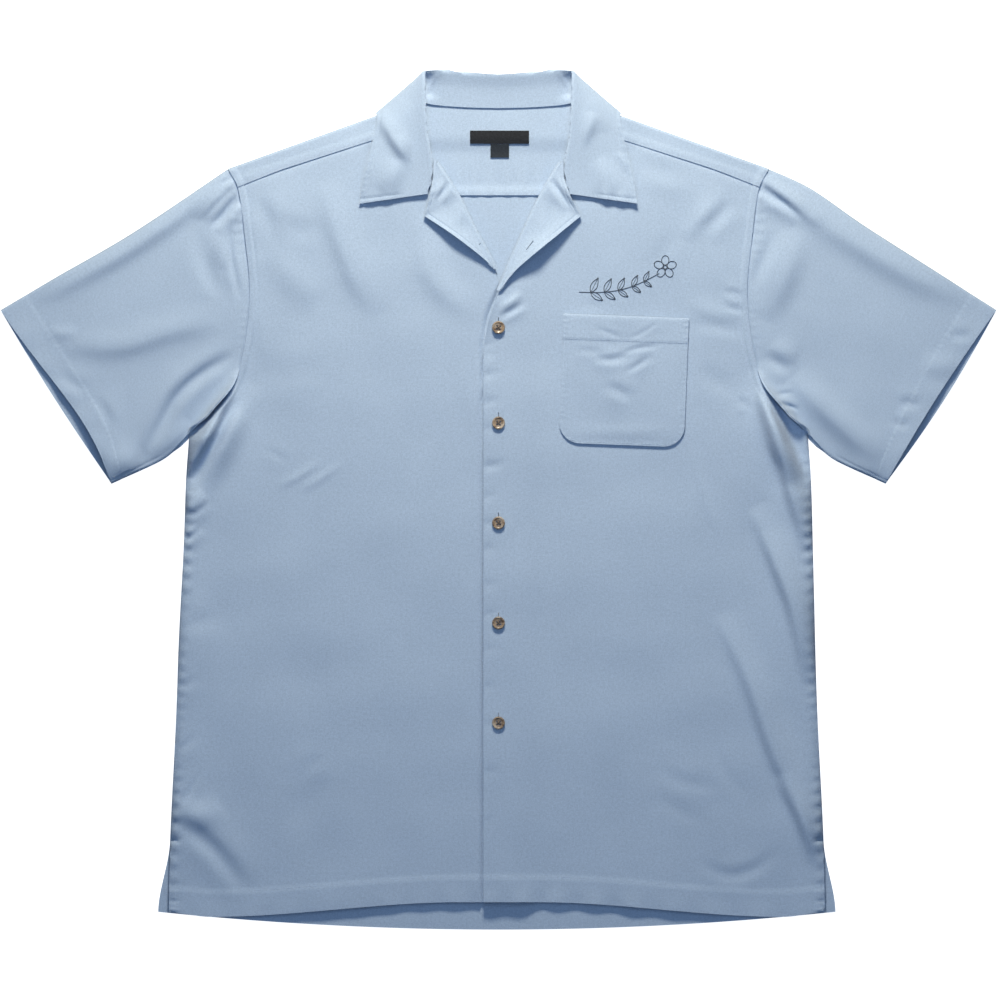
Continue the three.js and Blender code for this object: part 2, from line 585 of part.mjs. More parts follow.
// ---- Collar ----
/** A section of the collar: its stand from the neck seam to the roll, and its fall from there to the outer edge. */
function collarSection(side, { seam, roll, outer, drop }) {
  const at = ([out, y, z]) => point(side * out, y, z);
  const [from, top, to] = [at(seam), at(roll), at(outer)];
  const stand = steps(0, 1, COLLAR_STAND_POINTS)
    .slice(0, -1)
    .map((t) => from.clone().lerp(top, t * 0.93).setZ(THREE.MathUtils.lerp(from.z, top.z - 1.6, t ** 1.3)));
  const fall = steps(0, 1, COLLAR_FALL_POINTS).map((t) => {
    const p = top.clone().lerp(to, t);
    return p.setZ(to.z + (top.z - to.z) * (1 - t) ** drop);
  });
  return [...stand, ...fall];
}

function collar() {
  const half = (side) => COLLAR.map((row) => collarSection(side, row));
  return clothWall([...half(-1), ...half(1).reverse().slice(1)], { thickness: COLLAR_CLOTH });
}

// ---- Pocket and labels ----
const POCKET_CORNER_ROWS = 3;
const POCKET_ROWS = 5;
const POCKET_COLUMNS = 8;

/**
 * A flat piece laid on another. ups are the heights of its rows over its lower edge, columns is how many cells it
 * has across, and under gives the middle of the cloth below it.
 */
function patchOn({ out, y, width, height, turn = 0, radius = 0, cloth = CLOTH }, ups, columns, under) {
  const angle = THREE.MathUtils.degToRad(turn);
  const grid = ups.map((up) => {
    const corner = Math.max(radius - up, 0);
    const half = width / 2 - radius + Math.sqrt(radius ** 2 - corner ** 2);
    return steps(-half, half, columns).map((along) => {
      const rise = up - height / 2;
      const x = out + along * Math.cos(angle) - rise * Math.sin(angle);
      const rowY = y + along * Math.sin(angle) + rise * Math.cos(angle);
      return point(x, rowY, under(x, rowY) + CLOTH / 2 + PATCH_CLEARANCE + cloth / 2);
    });
  });
  return clothWall(grid, { thickness: cloth, upright: true });
}

function pocket() {
  const corner = steps(0, Math.PI / 2, POCKET_CORNER_ROWS).map((a) => POCKET.radius * (1 - Math.cos(a)));
  const ups = [...corner, ...steps(POCKET.radius, POCKET.height, POCKET_ROWS).slice(1)];
  return patchOn(POCKET, ups, POCKET_COLUMNS, (x, y) => frontHeight(1, x, y));
}

const label = (piece, columns) => patchOn(piece, [0, piece.height / 2, piece.height], columns, backHeight);

// ---- Buttons ----
const BUTTON_SEGMENTS = 20;
const HOLE_SEGMENTS = 8;

/** A four-hole button with a rounded rim and a shallow dish. */
function button() {
  const { radius, foot, side, top, edge, dishTop, dish, bowl } = BUTTON;
  const profile = [
    [0, 0],
    [foot, 0],
    [radius, side],
    [radius, top - edge],
    [radius - edge, top],
    [dishTop, top],
    [dish, bowl],
    [0, bowl],
  ];
  const body = new THREE.LatheGeometry(profile.map(([r, z]) => new THREE.Vector2(r, z)), BUTTON_SEGMENTS);
  body.rotateX(Math.PI / 2);
  const corners = [
    [-1, -1],
    [1, -1],
    [1, 1],
    [-1, 1],
  ];
  const holes = corners.map(([x, y]) => {
    const hole = new THREE.CylinderGeometry(BUTTON_HOLE.radius, BUTTON_HOLE.radius, top * 3, HOLE_SEGMENTS);
    hole.rotateX(Math.PI / 2);
    hole.translate(x * BUTTON_HOLE.out, y * BUTTON_HOLE.out, 0);
    return solidOf(hole);
  });
  return geometryOf(holes.reduce((solid, hole) => solid.subtract(hole), solidOf(body)));
}

/** The height at which a button clears the front all over its width. */
function buttonRest(y) {
  const around = steps(0, 2 * Math.PI, 12).map((a) => [BUTTON.radius * Math.cos(a), y + BUTTON.radius * Math.sin(a)]);
  return Math.max(...around.map(([x, rowY]) => frontHeight(1, x, rowY))) + CLOTH / 2 + BUTTON_CLEARANCE;
}

// ---- The shirt ----
const cloth = new THREE.MeshStandardMaterial({ color: 0xa7c0dc, roughness: 0.85, metalness: 0 });
const labelCloth = new THREE.MeshStandardMaterial({ color: 0x22262b, roughness: 0.7, metalness: 0 });
const tabCloth = new THREE.MeshStandardMaterial({ color: 0x3d4c5e, roughness: 0.7, metalness: 0 });
const horn = new THREE.MeshStandardMaterial({ color: 0xa1866b, roughness: 0.35, metalness: 0 });

const shirt = new THREE.Group();
const add = (name, geometry, material) => {
  const mesh = new THREE.Mesh(geometry, material.clone());
  mesh.name = name;
  shirt.add(mesh);
  return mesh;
};

add("back_panel", backPanel(), cloth);
add("back_yoke", yoke(), cloth);
add("front_right", front(-1, LAPELS.right), cloth);
add("front_left", front(1, LAPELS.left), cloth);
add("facing_right", facing(-1, LAPELS.right), cloth);
add("facing_left", facing(1, LAPELS.left), cloth);
add("collar", collar(), cloth);
add("sleeve_right", sleeve(-1, { depth: 8.5, skew: 1.7 }), cloth);
add("sleeve_left", sleeve(1, { depth: 5.5, skew: 1 }), cloth);
add("pocket", pocket(), cloth);
add("neck_label", label(LABEL, 6), labelCloth);
add("size_tab", label(SIZE_TAB, 3), tabCloth);
for (let k = 0; k < BUTTON_COUNT; k++) {
  const y = k === 0 ? BUTTON_TOP_Y : BUTTON_SECOND_Y - BUTTON_PITCH * (k - 1);
  add(`button_${k + 1}`, button(), horn).position.set(0, y, buttonRest(y));
}

// The origin is under the middle of the shirt's own box.
const box = new THREE.Box3().setFromObject(shirt);
shirt.position.set(-(box.min.x + box.max.x) / 2, -(box.min.y + box.max.y) / 2, -box.min.z);

export default shirt;
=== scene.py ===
"""Dresses a packed camp shirt that lies flat, front up: soft cloth shells, stitches, horn buttons, light and camera.

Lengths in the classes are millimetres. "out" is a distance from the centre front line towards a side seam, and "y"
a distance up from the back hem, as in the part's own source.
"""

import logging
import math
from collections.abc import Callable, Sequence
from dataclasses import dataclass, field
from enum import Enum
from functools import partial

import bpy
import numpy as np
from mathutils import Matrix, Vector


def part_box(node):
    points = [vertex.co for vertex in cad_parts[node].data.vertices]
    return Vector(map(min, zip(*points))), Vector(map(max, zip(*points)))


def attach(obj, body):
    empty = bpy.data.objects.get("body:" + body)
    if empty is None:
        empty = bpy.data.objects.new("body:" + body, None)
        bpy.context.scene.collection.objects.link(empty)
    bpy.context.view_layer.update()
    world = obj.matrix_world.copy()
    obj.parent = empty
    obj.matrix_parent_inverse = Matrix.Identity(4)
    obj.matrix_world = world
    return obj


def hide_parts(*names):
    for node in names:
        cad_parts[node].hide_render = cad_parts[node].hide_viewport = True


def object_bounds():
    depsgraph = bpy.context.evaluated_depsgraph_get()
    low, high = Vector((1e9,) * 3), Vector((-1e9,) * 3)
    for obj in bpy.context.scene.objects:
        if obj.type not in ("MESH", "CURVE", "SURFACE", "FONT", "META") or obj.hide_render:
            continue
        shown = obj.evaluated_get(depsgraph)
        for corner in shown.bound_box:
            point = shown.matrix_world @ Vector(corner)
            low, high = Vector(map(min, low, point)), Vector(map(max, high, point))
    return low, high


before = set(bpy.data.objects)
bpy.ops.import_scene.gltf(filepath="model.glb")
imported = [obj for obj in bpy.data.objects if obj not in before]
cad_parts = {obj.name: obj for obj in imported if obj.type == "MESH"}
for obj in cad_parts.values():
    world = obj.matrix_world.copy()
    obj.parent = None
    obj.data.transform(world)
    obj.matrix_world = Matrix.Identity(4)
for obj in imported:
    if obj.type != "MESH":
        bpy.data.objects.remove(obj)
CAD_LOW, CAD_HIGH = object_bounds()

LOG = logging.getLogger("camp_shirt")
Array = np.ndarray
Row = tuple[float, ...]
MM = 0.001
TAU = 2 * math.pi
RIM_ANGLE = math.radians(58)  # a sharper edge than this is shaded as one
BANK_SHARE = 0.72  # how much of a trough's depth its raised banks take
BANK_REACH = 2.3  # how much wider than the trough the banks are
STITCH_PROUD = 0.05  # how far the middle of a thread stands over the cloth
STITCH_SUNK = 0.02  # the same where the thread is drawn further into it

# ---- Sizes that several pieces share, as in the part's source ----
CLOTH = 1.2
GAP = 0.3
STEP = CLOTH + GAP
BODY_HEM_CLOTH = 1.5
SLEEVE_HEM_CLOTH = 1.8
COLLAR_CLOTH = 1.6
OVERLAP = 14.5
BODY_HEM = 24.5
VENT_TOP = 86.0
UNDERARM = (296.6, 478.7)
SHOULDER_TIP = (259.7, 730.4)
SHOULDER_NECK = (86.4, 792.6)
YOKE_FRONT_TIP = (250.5, 713.0)
YOKE_FRONT_NECK = (86.4, 768.9)
YOKE_BACK_Y = 705.0
FRONT_HEM_CENTRE = 26.3
FRONT_HEM_FLAT_OUT = 38.0
FRONT_HEM_LOW = 12.2
FRONT_HEM_LOW_OUT = 273.0
FRONT_HEM_CORNER = (16.4, 313.4)
LET_OUT = 3.2
LET_OUT_FROM = (120, 310)
LET_OUT_BELOW = (250, 400)

SIDE_SEAM = (FRONT_HEM_CORNER, (VENT_TOP, 312), (215, 305.8), (345, 302.3), (430, 300), UNDERARM[::-1])
ARMHOLE = (
    UNDERARM[::-1], (493, 277.4), (532.5, 251), (604.5, 239), (675.5, 244.6), YOKE_FRONT_TIP[::-1],
    SHOULDER_TIP[::-1],
)
RIGHT_EDGE = ((560, -14.5), (623, 0.4), (644, 9.1), (676, 26.4), (703, 39.5), (739, 63), (768.9, 86.4))
LEFT_EDGE = ((560, -14.5), (585, -9), (612, 0.6), (661, 21.6), (703, 41.4), (739, 63), (768.9, 86.4))


class Side(Enum):
    """The wearer's side that a piece is on; its value is the sign of x."""

    RIGHT = -1
    LEFT = 1


# ---- Curves ----
def smooth(value: Array, start: float, end: float) -> Array:
    """A rise from 0 at start to 1 at end, level at both."""
    t = np.clip((np.asarray(value, float) - start) / (end - start), 0, 1)
    return t * t * (3 - 2 * t)


def fade(value: Array, start: float, end: float) -> Array:
    """A fall from 1 at start to 0 at end, level at both."""
    return 1 - smooth(value, start, end)


def blend(a: Array, b: Array, share: Array) -> Array:
    """The value at a share of the way from a to b."""
    return a + (b - a) * share


def bell(distance: Array, width: float) -> Array:
    """1 on a line, and a soft fall to nothing on both sides of it."""
    return np.exp(-((distance / width) ** 2))


def above_zero(value: Array, softness: float) -> Array:
    """A value where it is well above 0, and a soft approach to 0 where it falls below."""
    return softness * np.logaddexp(0, value / softness)


def lengths_along(points: Array) -> Array:
    """The distance to each point of a line from its first one."""
    return np.concatenate([[0], np.cumsum(np.linalg.norm(np.diff(points, axis=0), axis=1))])


def unit(vectors: Array) -> Array:
    """The vectors' directions."""
    return vectors / np.linalg.norm(vectors, axis=-1, keepdims=True)


def out_at(rows: Sequence[Row], y: Array) -> Array:
    """The smooth curve through a table of (y, out) rows.

    Args:
        rows: The table, from the lowest y up.
        y: Where to read it; beyond its ends it stays level.

    Returns:
        The distance out at each y.
    """
    ys, outs = np.array(rows, float).T
    y = np.clip(y, ys[0], ys[-1])
    i = np.clip(np.searchsorted(ys, y, side="right") - 1, 0, len(ys) - 2)
    low, high = np.maximum(np.arange(len(ys)) - 1, 0), np.minimum(np.arange(len(ys)) + 1, len(ys) - 1)
    slope = (outs[high] - outs[low]) / (ys[high] - ys[low])
    span = ys[i + 1] - ys[i]
    t = (y - ys[i]) / span
    value = blend(outs[i], outs[i + 1], t * t * (3 - 2 * t))
    return value + span * (t * (1 - t) ** 2 * slope[i] + t * t * (t - 1) * slope[i + 1])


def spline(points: Sequence[Row] | Array, share: Array, even: bool = True) -> Array:
    """Points along the smooth curve through some points, in any number of dimensions.

    Args:
        points: The points, in order.
        share: Shares of the way along, from 0 to 1.
        even: Whether a share is one of the length; otherwise each span counts the same.

    Returns:
        One point for each share.
    """
    p = np.asarray(points, float)
    last = len(p) - 1

    def at(u: Array) -> Array:
        i = np.clip(np.floor(u * last).astype(int), 0, last - 1)
        w = (u * last - i)[:, None]
        a, b, c, d = p[np.maximum(i - 1, 0)], p[i], p[i + 1], p[np.minimum(i + 2, last)]
        m, n = (c - a) / 2, (d - b) / 2
        return b + m * w + (3 * (c - b) - 2 * m - n) * w**2 + (2 * (b - c) + m + n) * w**3

    share = np.asarray(share, float)
    if even:
        fine = np.linspace(0, 1, 400)
        run = lengths_along(at(fine))
        share = np.interp(share * run[-1], run, fine)
    return at(share)


def spaced(length: float, cell: float, ends: float = 0.0, tight: float = 2.0, reach: float = 10.0) -> Array:
    """Shares from 0 to 1 for the lines of a grid, closer together near its edges.

    Args:
        length: How long the grid is.
        cell: The distance between lines away from the edges.
        ends: 1 draws the lines together at both edges, and 0 leaves them even.
        tight: How much closer they lie at an edge, beyond even.
        reach: How far from an edge they stay close.

    Returns:
        The shares.
    """
    fine = np.linspace(0, length, 600)
    density = (1 + ends * tight * (np.exp(-fine / reach) + np.exp(-(length - fine) / reach))) / cell
    run = np.concatenate([[0], np.cumsum((density[1:] + density[:-1]) / 2 * np.diff(fine))])
    count = max(int(round(run[-1])), 3)
    return np.interp(np.linspace(0, run[-1], count + 1), run, fine / length)


@dataclass(frozen=True)
class Gathers:
    """Small uneven gathers beside a seam."""

    pitch: float  # the mean distance between them
    reach: float  # how far they run out from the seam
    depth: float  # their greatest height
    seed: float  # shifts the pattern, so that two seams differ

    def lift(self, along: Array, across: Array) -> Array:
        """The height that they add, at distances along the seam and away from it."""
        turns, seed = along / self.pitch, self.seed
        beat = turns + 0.45 * np.sin(turns / 2.9 + seed)
        size = 0.5 + 0.5 * np.sin(turns / 5.3 + 2.1 * seed) * np.sin(turns / 2.2 + seed)
        return self.depth * size * np.cos(TAU * beat) * bell(across, self.reach)


@dataclass(frozen=True)
class Fold:
    """A ridge, or a trough where its height is negative, that runs along a path and dies away at its ends."""

    path: tuple[Row, ...]
    width: float
    height: float
    lean: float = 0.0  # above 0 it is wider on the left of its path, and steeper on the right

    def lift(self, x: Array, y: Array) -> Array:
        """The height that it adds at each point."""
        route = spline(self.path, np.linspace(0, 1, 4 * len(self.path)))
        reach = 5 * self.width
        near = (x > route[:, 0].min() - reach) & (x < route[:, 0].max() + reach)
        near &= (y > route[:, 1].min() - reach) & (y < route[:, 1].max() + reach)
        lift = np.zeros_like(x)
        px, py = x[near], y[near]
        if not px.size:
            return lift
        spans = np.linalg.norm(np.diff(route, axis=0), axis=1)
        starts = np.concatenate([[0], np.cumsum(spans)[:-1]]) / spans.sum()
        best, share, turn = np.full(px.shape, 1e9), np.zeros(px.shape), np.ones(px.shape)
        for (ax, ay), (bx, by), span, start in zip(route, route[1:], spans, starts):
            dx, dy = (bx - ax) / span, (by - ay) / span
            along = np.clip((px - ax) * dx + (py - ay) * dy, 0, span)
            away = (px - ax - along * dx) ** 2 + (py - ay - along * dy) ** 2
            side = np.sign(dx * (py - ay) - dy * (px - ax))
            closer = away < best
            best = np.where(closer, away, best)
            share = np.where(closer, start + along / spans.sum(), share)
            turn = np.where(closer, side, turn)
        width = self.width * (1 + self.lean * turn)
        profile = np.exp(-best / width**2)
        if self.height < 0:
            profile = profile - BANK_SHARE * np.exp(-best / (BANK_REACH * width) ** 2)
        lift[near] = self.height * np.maximum(np.sin(math.pi * share), 0) * profile
        return lift


@dataclass(frozen=True)
class Unevenness:
    """The slight waviness of cloth that has been worn and laid flat."""

    seed: int
    depth: float
    waves: int = 16
    shortest: float = 24.0
    longest: float = 190.0

    def lift(self, x: Array, y: Array) -> Array:
        """The height that it adds at each point."""
        draw = np.random.default_rng(self.seed)
        total = np.zeros_like(x)
        for _ in range(self.waves):
            length = math.exp(draw.uniform(math.log(self.shortest), math.log(self.longest)))
            angle, phase = draw.uniform(0, math.pi), draw.uniform(0, TAU)
            way = x * math.cos(angle) + y * math.sin(angle)
            total += length / self.longest * np.sin(TAU * way / length + phase)
        return self.depth * total


def folds_lift(folds: Sequence[Fold], x: Array, y: Array) -> Array:
    """The height that a set of folds adds together at each point."""
    return sum((fold.lift(x, y) for fold in folds), np.zeros_like(x))


# ---- Folds, as (x, y) paths with their half width and height ----
BODY_FOLDS = (
    # under the wearer's right arm: the bank of the body over the low gusset, the bulge below and its crease
    Fold(((-254, 524), (-261, 508), (-271, 491), (-280, 473), (-288, 458), (-295, 445), (-302, 430)), 8, 14, -0.3),
    Fold(((-233, 524), (-248, 495), (-259, 470), (-268, 449), (-280, 428), (-292, 412)), 11, 4.5),
    Fold(((-250, 512), (-262, 493), (-271, 472), (-281, 456), (-290, 439), (-300, 422)), 6.5, -9),
    Fold(((-310, 401), (-296, 409), (-280, 418)), 9, 3.6),
    Fold(((-299, 395), (-288, 402), (-276, 412)), 3.6, -2),
    Fold(((-302, 374), (-294, 378), (-287, 386)), 3.2, -3),
    Fold(((-296, 464), (-289, 470), (-281, 476)), 3.5, 1.4),
    # under the wearer's left arm: a sharp ridge over the low gusset, and the drag that runs on down the side
    Fold(
        ((246, 539), (253, 512), (261, 489), (267, 466), (275, 445), (280, 424), (286, 403), (292, 383), (297, 362)),
        9.5, 11.6, 0.36,
    ),
    Fold(((251, 522), (256, 508), (264, 488), (273, 469), (283, 448), (292, 428)), 7.2, 7, -0.38),
    Fold(((264, 520), (271, 503), (280, 480), (288, 457), (295, 432)), 10, -12.5),
    Fold(((228, 531), (236, 480), (243, 432), (256, 384)), 22, 3.2),
    # wearer's right chest
    Fold(((-169, 720), (-162, 695), (-155, 670), (-146, 645), (-133, 616), (-112, 591)), 15, 3.6, 0.3),
    Fold(((-219, 687), (-202, 675), (-185, 671), (-164, 672)), 10, -1.2),
    Fold(((-237, 645), (-214, 641), (-196, 622), (-173, 601)), 15, 2.1),
    Fold(((-237, 533), (-200, 535), (-162, 539)), 14, -0.9),
    Fold(((-72, 691), (-69, 647), (-60, 622), (-41, 604), (-10, 590)), 17, 2.8, 0.3),
    Fold(((-56, 664), (-45, 633), (-27, 612)), 14, -1.4),
    Fold(((-214, 425), (-192, 435), (-170, 451)), 3.6, 1),
    Fold(((-191, 421), (-169, 434), (-150, 449)), 3.6, 1),
    Fold(((-226, 462), (-214, 456), (-202, 447)), 4, -0.8),
    Fold(((-27, 549), (-26, 526), (-26, 501)), 5, -1),
    Fold(((-232, 704), (-222, 684), (-214, 658)), 9, -2.4),
    Fold(((-242, 604), (-237, 566), (-233, 535)), 7, -1.2),
    Fold(((-238, 685), (-233, 652), (-232, 614)), 6, 1.2),
    # wearer's left chest
    Fold(((226, 701), (211, 685), (195, 669)), 8, -2.8),
    Fold(((209, 698), (193, 680), (178, 662)), 8, 1.4),
    Fold(((170, 670), (159, 652), (150, 635)), 9, -1),
    Fold(((128, 743), (152, 730), (180, 726)), 10, -1),
    Fold(((136, 723), (163, 714), (193, 710)), 10, 0.8),
    Fold(((214, 614), (225, 611), (237, 608)), 4, -1.4),
    Fold(((216, 599), (226, 596), (238, 594)), 3.5, -1.4),
    Fold(((184, 583), (214, 578), (238, 573)), 7, -1.2),
    Fold(((178, 602), (204, 594), (228, 586)), 8, 1),
    Fold(((228, 508), (236, 505), (242, 498)), 5, -1.4),
    Fold(((190, 540), (212, 525), (232, 512)), 10, -1.4),
    Fold(((0, 587), (13, 594), (26, 602)), 3.2, -3.4),
    Fold(((1, 597), (11, 602), (23, 612)), 3, 2.2),
    Fold(((78, 604), (90, 599), (102, 598)), 5, -0.8),
    # wearer's right side, down to the hem
    Fold(((-313, 107), (-292, 96), (-267, 73), (-239, 36)), 9, -4.6),
    Fold(((-313, 119), (-296, 111), (-281, 109), (-262, 119)), 13, 4),
    Fold(((-308, 117), (-296, 128), (-285, 151)), 3.2, -1.4),
    Fold(((-302, 295), (-285, 295), (-265, 305)), 10, -1.4),
    Fold(((-308, 230), (-296, 236), (-283, 243)), 6, -1),
    Fold(((-310, 170), (-298, 176), (-287, 188)), 5, -1.2),
    Fold(((-162, 148), (-181, 124), (-200, 96)), 14, -0.9),
    Fold(((-169, 170), (-178, 159), (-187, 147)), 8, -0.9),
    # wearer's left side, down to the hem: two long drags, each steep on its inner side
    Fold(((244, 405), (255, 379), (269, 345), (282, 310), (291, 270), (298, 236)), 11, 9, 0.45),
    Fold(
        ((211, 301), (226, 272), (243, 233), (256, 194), (270, 158), (287, 124), (296, 98), (302, 74)),
        12.5, 7.5, 0.45,
    ),
    Fold(((268, 146), (283, 122), (295, 94), (303, 63)), 8, 5.5, 0.35),
    Fold(((193, 69), (207, 57), (225, 52), (247, 59), (268, 76)), 7, -1.8),
    Fold(((150, 158), (176, 142), (211, 137)), 8, -1),
    Fold(((152, 127), (177, 113), (196, 103)), 8, -0.9),
    Fold(((207, 178), (219, 152), (238, 124)), 8, -1),
    Fold(((186, 464), (199, 412), (215, 374)), 4, 0.9),
    Fold(((-260, 510), (-273, 495), (-287, 482), (-298, 472)), 10, -8),
)
# short drags across the left front's edge, as (y, length, height)
PLACKET_DRAGS = (
    (561, 18, -0.9), (552, 20, -0.7), (532, 22, -1.0), (506, 24, -0.9), (480, 18, -0.6), (444, 30, -1.2),
    (415, 18, -0.8), (389, 20, -0.8), (365, 18, -0.7), (330, 20, -0.5), (302, 18, -0.6), (268, 22, -0.5),
    (232, 18, -0.6), (196, 20, -0.5), (150, 22, -0.5), (104, 18, -0.4),
)
SLEEVE_FOLDS = (
    # wearer's right: the roll along the top, the ridge across, the drags at the shoulder and those to the underarm
    Fold(
        (
            (-248, 729), (-268, 720), (-291, 700), (-315, 681), (-339, 665), (-362, 650), (-392, 633), (-423, 616),
            (-450, 604),
        ),
        13, 9, -0.3,
    ),
    Fold(((-425, 566), (-402, 561), (-360, 560), (-313, 575), (-265, 583)), 12.5, 3.2, 0.2),
    Fold(((-250, 554), (-270, 543), (-291, 529), (-309, 511), (-322, 488), (-335, 462), (-340, 449)), 7, -8),
    Fold(((-252, 725), (-260, 720), (-268, 713)), 3.2, -5),
    Fold(((-242, 710), (-256, 696), (-266, 684), (-276, 674)), 5, -11),
    Fold(((-286, 674), (-284, 650), (-277, 627), (-267, 608)), 9, -3),
    Fold(((-266, 679), (-268, 657), (-264, 633)), 7, 2),
    Fold(((-258, 679), (-257, 648), (-248, 604)), 3.6, -3),
    Fold(((-296, 487), (-313, 470), (-335, 453)), 8, 4, -0.2),
    Fold(((-379, 443), (-360, 445), (-340, 449)), 16, 8),
    Fold(((-386, 512), (-379, 499), (-371, 482)), 6, -1.6),
    Fold(((-421, 535), (-409, 524), (-394, 516)), 7, -1.8),
    Fold(((-434, 576), (-421, 572), (-404, 574)), 6, 1.4),
    # wearer's left: the roll along the top, the deep drag at the shoulder and those towards the underarm
    Fold(((268, 712), (289, 695), (326, 671), (366, 647), (406, 625), (460, 604)), 17, 8, 0.25),
    Fold(((245, 718), (261, 706), (275, 697), (291, 684)), 5, -11),
    Fold(((266, 674), (256, 647), (243, 614)), 7, -3.2),
    Fold(((289, 672), (280, 641), (269, 614), (255, 585)), 14, 4.5, -0.15),
    Fold(((255, 553), (266, 545), (281, 536)), 8, -5),
    Fold(((263, 511), (272, 514), (284, 516)), 2.4, -2.4),
    Fold(((265, 504), (276, 503), (288, 499)), 2.8, -6),
    Fold(((282, 531), (307, 505), (334, 478), (366, 451)), 13, 7, 0.15),
    Fold(((334, 444), (349, 440), (366, 435)), 9, 3),
    Fold(((433, 572), (445, 570), (456, 572)), 6, -2),
    Fold(((405, 545), (422, 541), (441, 543)), 10, 1.6),
    Fold(((382, 505), (393, 505), (407, 503)), 6, -2),
    Fold(((376, 491), (385, 485), (397, 485)), 5, -1.6),
    Fold(((-250, 723), (-264, 710), (-277, 697), (-290, 681)), 7, 6, -0.45),
    Fold(((241, 729), (261, 716), (280, 700), (312, 675)), 8.5, 5.5, 0.4),
)
BACK_FOLDS = (
    Fold(((-229, 641), (-150, 560), (-120, 450)), 16, 0.9),
    Fold(((211, 650), (161, 540), (190, 420)), 15, 0.9),
    Fold(((-29, 689), (-24, 601), (-33, 501)), 12, 0.6),
    Fold(((40, 660), (51, 520), (44, 420)), 12, 0.6),
)
POCKET_FOLDS = (
    Fold(((90, 578), (105, 573), (122, 567)), 3, -0.9),
    Fold(((122, 567), (138, 573), (155, 585)), 2.6, -0.8),
    Fold(((90, 550), (107, 547), (126, 551)), 4.5, -2.2),
    Fold(((119, 553), (134, 558), (155, 560)), 2.8, -1.5),
    Fold(((122, 535), (134, 542), (147, 551)), 3.5, -1.7),
    Fold(((101, 523), (115, 517), (130, 509)), 6.5, -2),
    Fold(((71, 558), (90, 555), (107, 556)), 4, -0.8),
    Fold(((72, 480), (120, 478), (170, 479)), 6, 0.6),
)
COLLAR_FOLDS = (
    Fold(((-114, 787), (-108, 773), (-98, 756), (-86, 742), (-70, 731)), 9, 5, 0.35),
    Fold(((-85, 722), (-74, 720), (-65, 723)), 4.5, -4),
    Fold(((-98, 739), (-104, 722), (-112, 708)), 9, 1.8),
    Fold(((90, 785), (86, 771), (77, 754), (63, 735)), 9, 5, -0.35),
    Fold(((113, 746), (119, 739), (123, 727)), 3, 1.2),
    Fold(((96, 741), (105, 723), (113, 708)), 9, 1.6),
    Fold(((-85, 796), (-93, 779), (-96, 764)), 9, 1.2),
    Fold(((82, 798), (94, 779), (99, 764)), 9, 1.2),
)
LAPEL_FOLDS = (
    Fold(((-48, 719), (-52, 710), (-59, 700)), 3.4, -4),
    Fold(((49, 723), (59, 708), (70, 691)), 4, -5),
    Fold(((48, 697), (48, 677), (43, 662)), 5, -2),
    Fold(((-36, 699), (-38, 684), (-46, 672)), 7, 1.4),
)


# ---- Cloth as meshes ----
@dataclass
class ClothGrid:
    """The middle of a piece of cloth as a grid of points, and where each lies in the flat cloth."""

    points: Array  # rows × columns × 3
    thickness: float | Array = CLOTH  # one number, or one for each row
    grain: Array | None = None  # rows × columns × 2, the plan itself unless given
    upright: bool = False  # thickened straight up and down, so that the outline stays as drawn
    around: bool = False  # the rows close on themselves, as a tube's do

    def normals(self) -> Array:
        """The cloth's normal at each point."""
        p = self.points
        if self.around:
            across = np.roll(p, -1, axis=1) - np.roll(p, 1, axis=1)
        else:
            across = np.gradient(p, axis=1)
        normal = np.cross(across, np.gradient(p, axis=0))
        return normal / np.maximum(np.linalg.norm(normal, axis=2, keepdims=True), 1e-9)

    def shell(self) -> tuple[Array, Array, Array]:
        """The closed wall around the grid.

        Returns:
            Its corners, its four-sided faces turned outwards, and the corners' places in the flat cloth.
        """
        rows, columns = self.points.shape[:2]
        normal = np.array([0.0, 0.0, 1.0]) if self.upright else self.normals()
        thick = np.broadcast_to(np.asarray(self.thickness, float), (rows,))[:, None, None] / 2
        corners = np.concatenate([self.points + normal * thick, self.points - normal * thick]).reshape(-1, 3)
        grain = self.points[..., :2] if self.grain is None else self.grain
        index = np.arange(rows * columns).reshape(rows, columns)
        if self.around:
            index = np.concatenate([index, index[:, :1]], axis=1)
        under = index + rows * columns

        def quads(a: Array, b: Array, c: Array, d: Array) -> Array:
            return np.stack([a.ravel(), b.ravel(), c.ravel(), d.ravel()], axis=1)

        faces = [
            quads(index[:-1, :-1], index[:-1, 1:], index[1:, 1:], index[1:, :-1]),
            quads(under[:-1, :-1], under[1:, :-1], under[1:, 1:], under[:-1, 1:]),
            quads(index[0, :-1], under[0, :-1], under[0, 1:], index[0, 1:]),
            quads(index[-1, :-1], index[-1, 1:], under[-1, 1:], under[-1, :-1]),
        ]
        if not self.around:
            faces += [
                quads(index[:-1, 0], index[1:, 0], under[1:, 0], under[:-1, 0]),
                quads(index[:-1, -1], under[:-1, -1], under[1:, -1], index[1:, -1]),
            ]
        faces = np.concatenate(faces)
        a, b, c, d = corners[faces.T]
        if np.einsum("ij,ij->", a, np.cross(b, c) + np.cross(c, d)) < 0:
            faces = faces[:, ::-1]
        return corners, faces, np.concatenate([grain, grain]).reshape(-1, 2)


def to_frame(points: Array) -> Array:
    """Points in millimetres as points in the frame's metres, with the wearer's right side let out a little."""
    points = np.array(points, float)
    points[..., 0] -= LET_OUT * smooth(-points[..., 0], *LET_OUT_FROM) * fade(points[..., 1], *LET_OUT_BELOW)
    return points * MM + np.array([0.0, CAD_LOW.y, CAD_LOW.z])


def place_in_scene(name: str, data: bpy.types.ID) -> bpy.types.Object:
    """A new object in the scene."""
    obj = bpy.data.objects.new(name, data)
    bpy.context.scene.collection.objects.link(obj)
    return obj


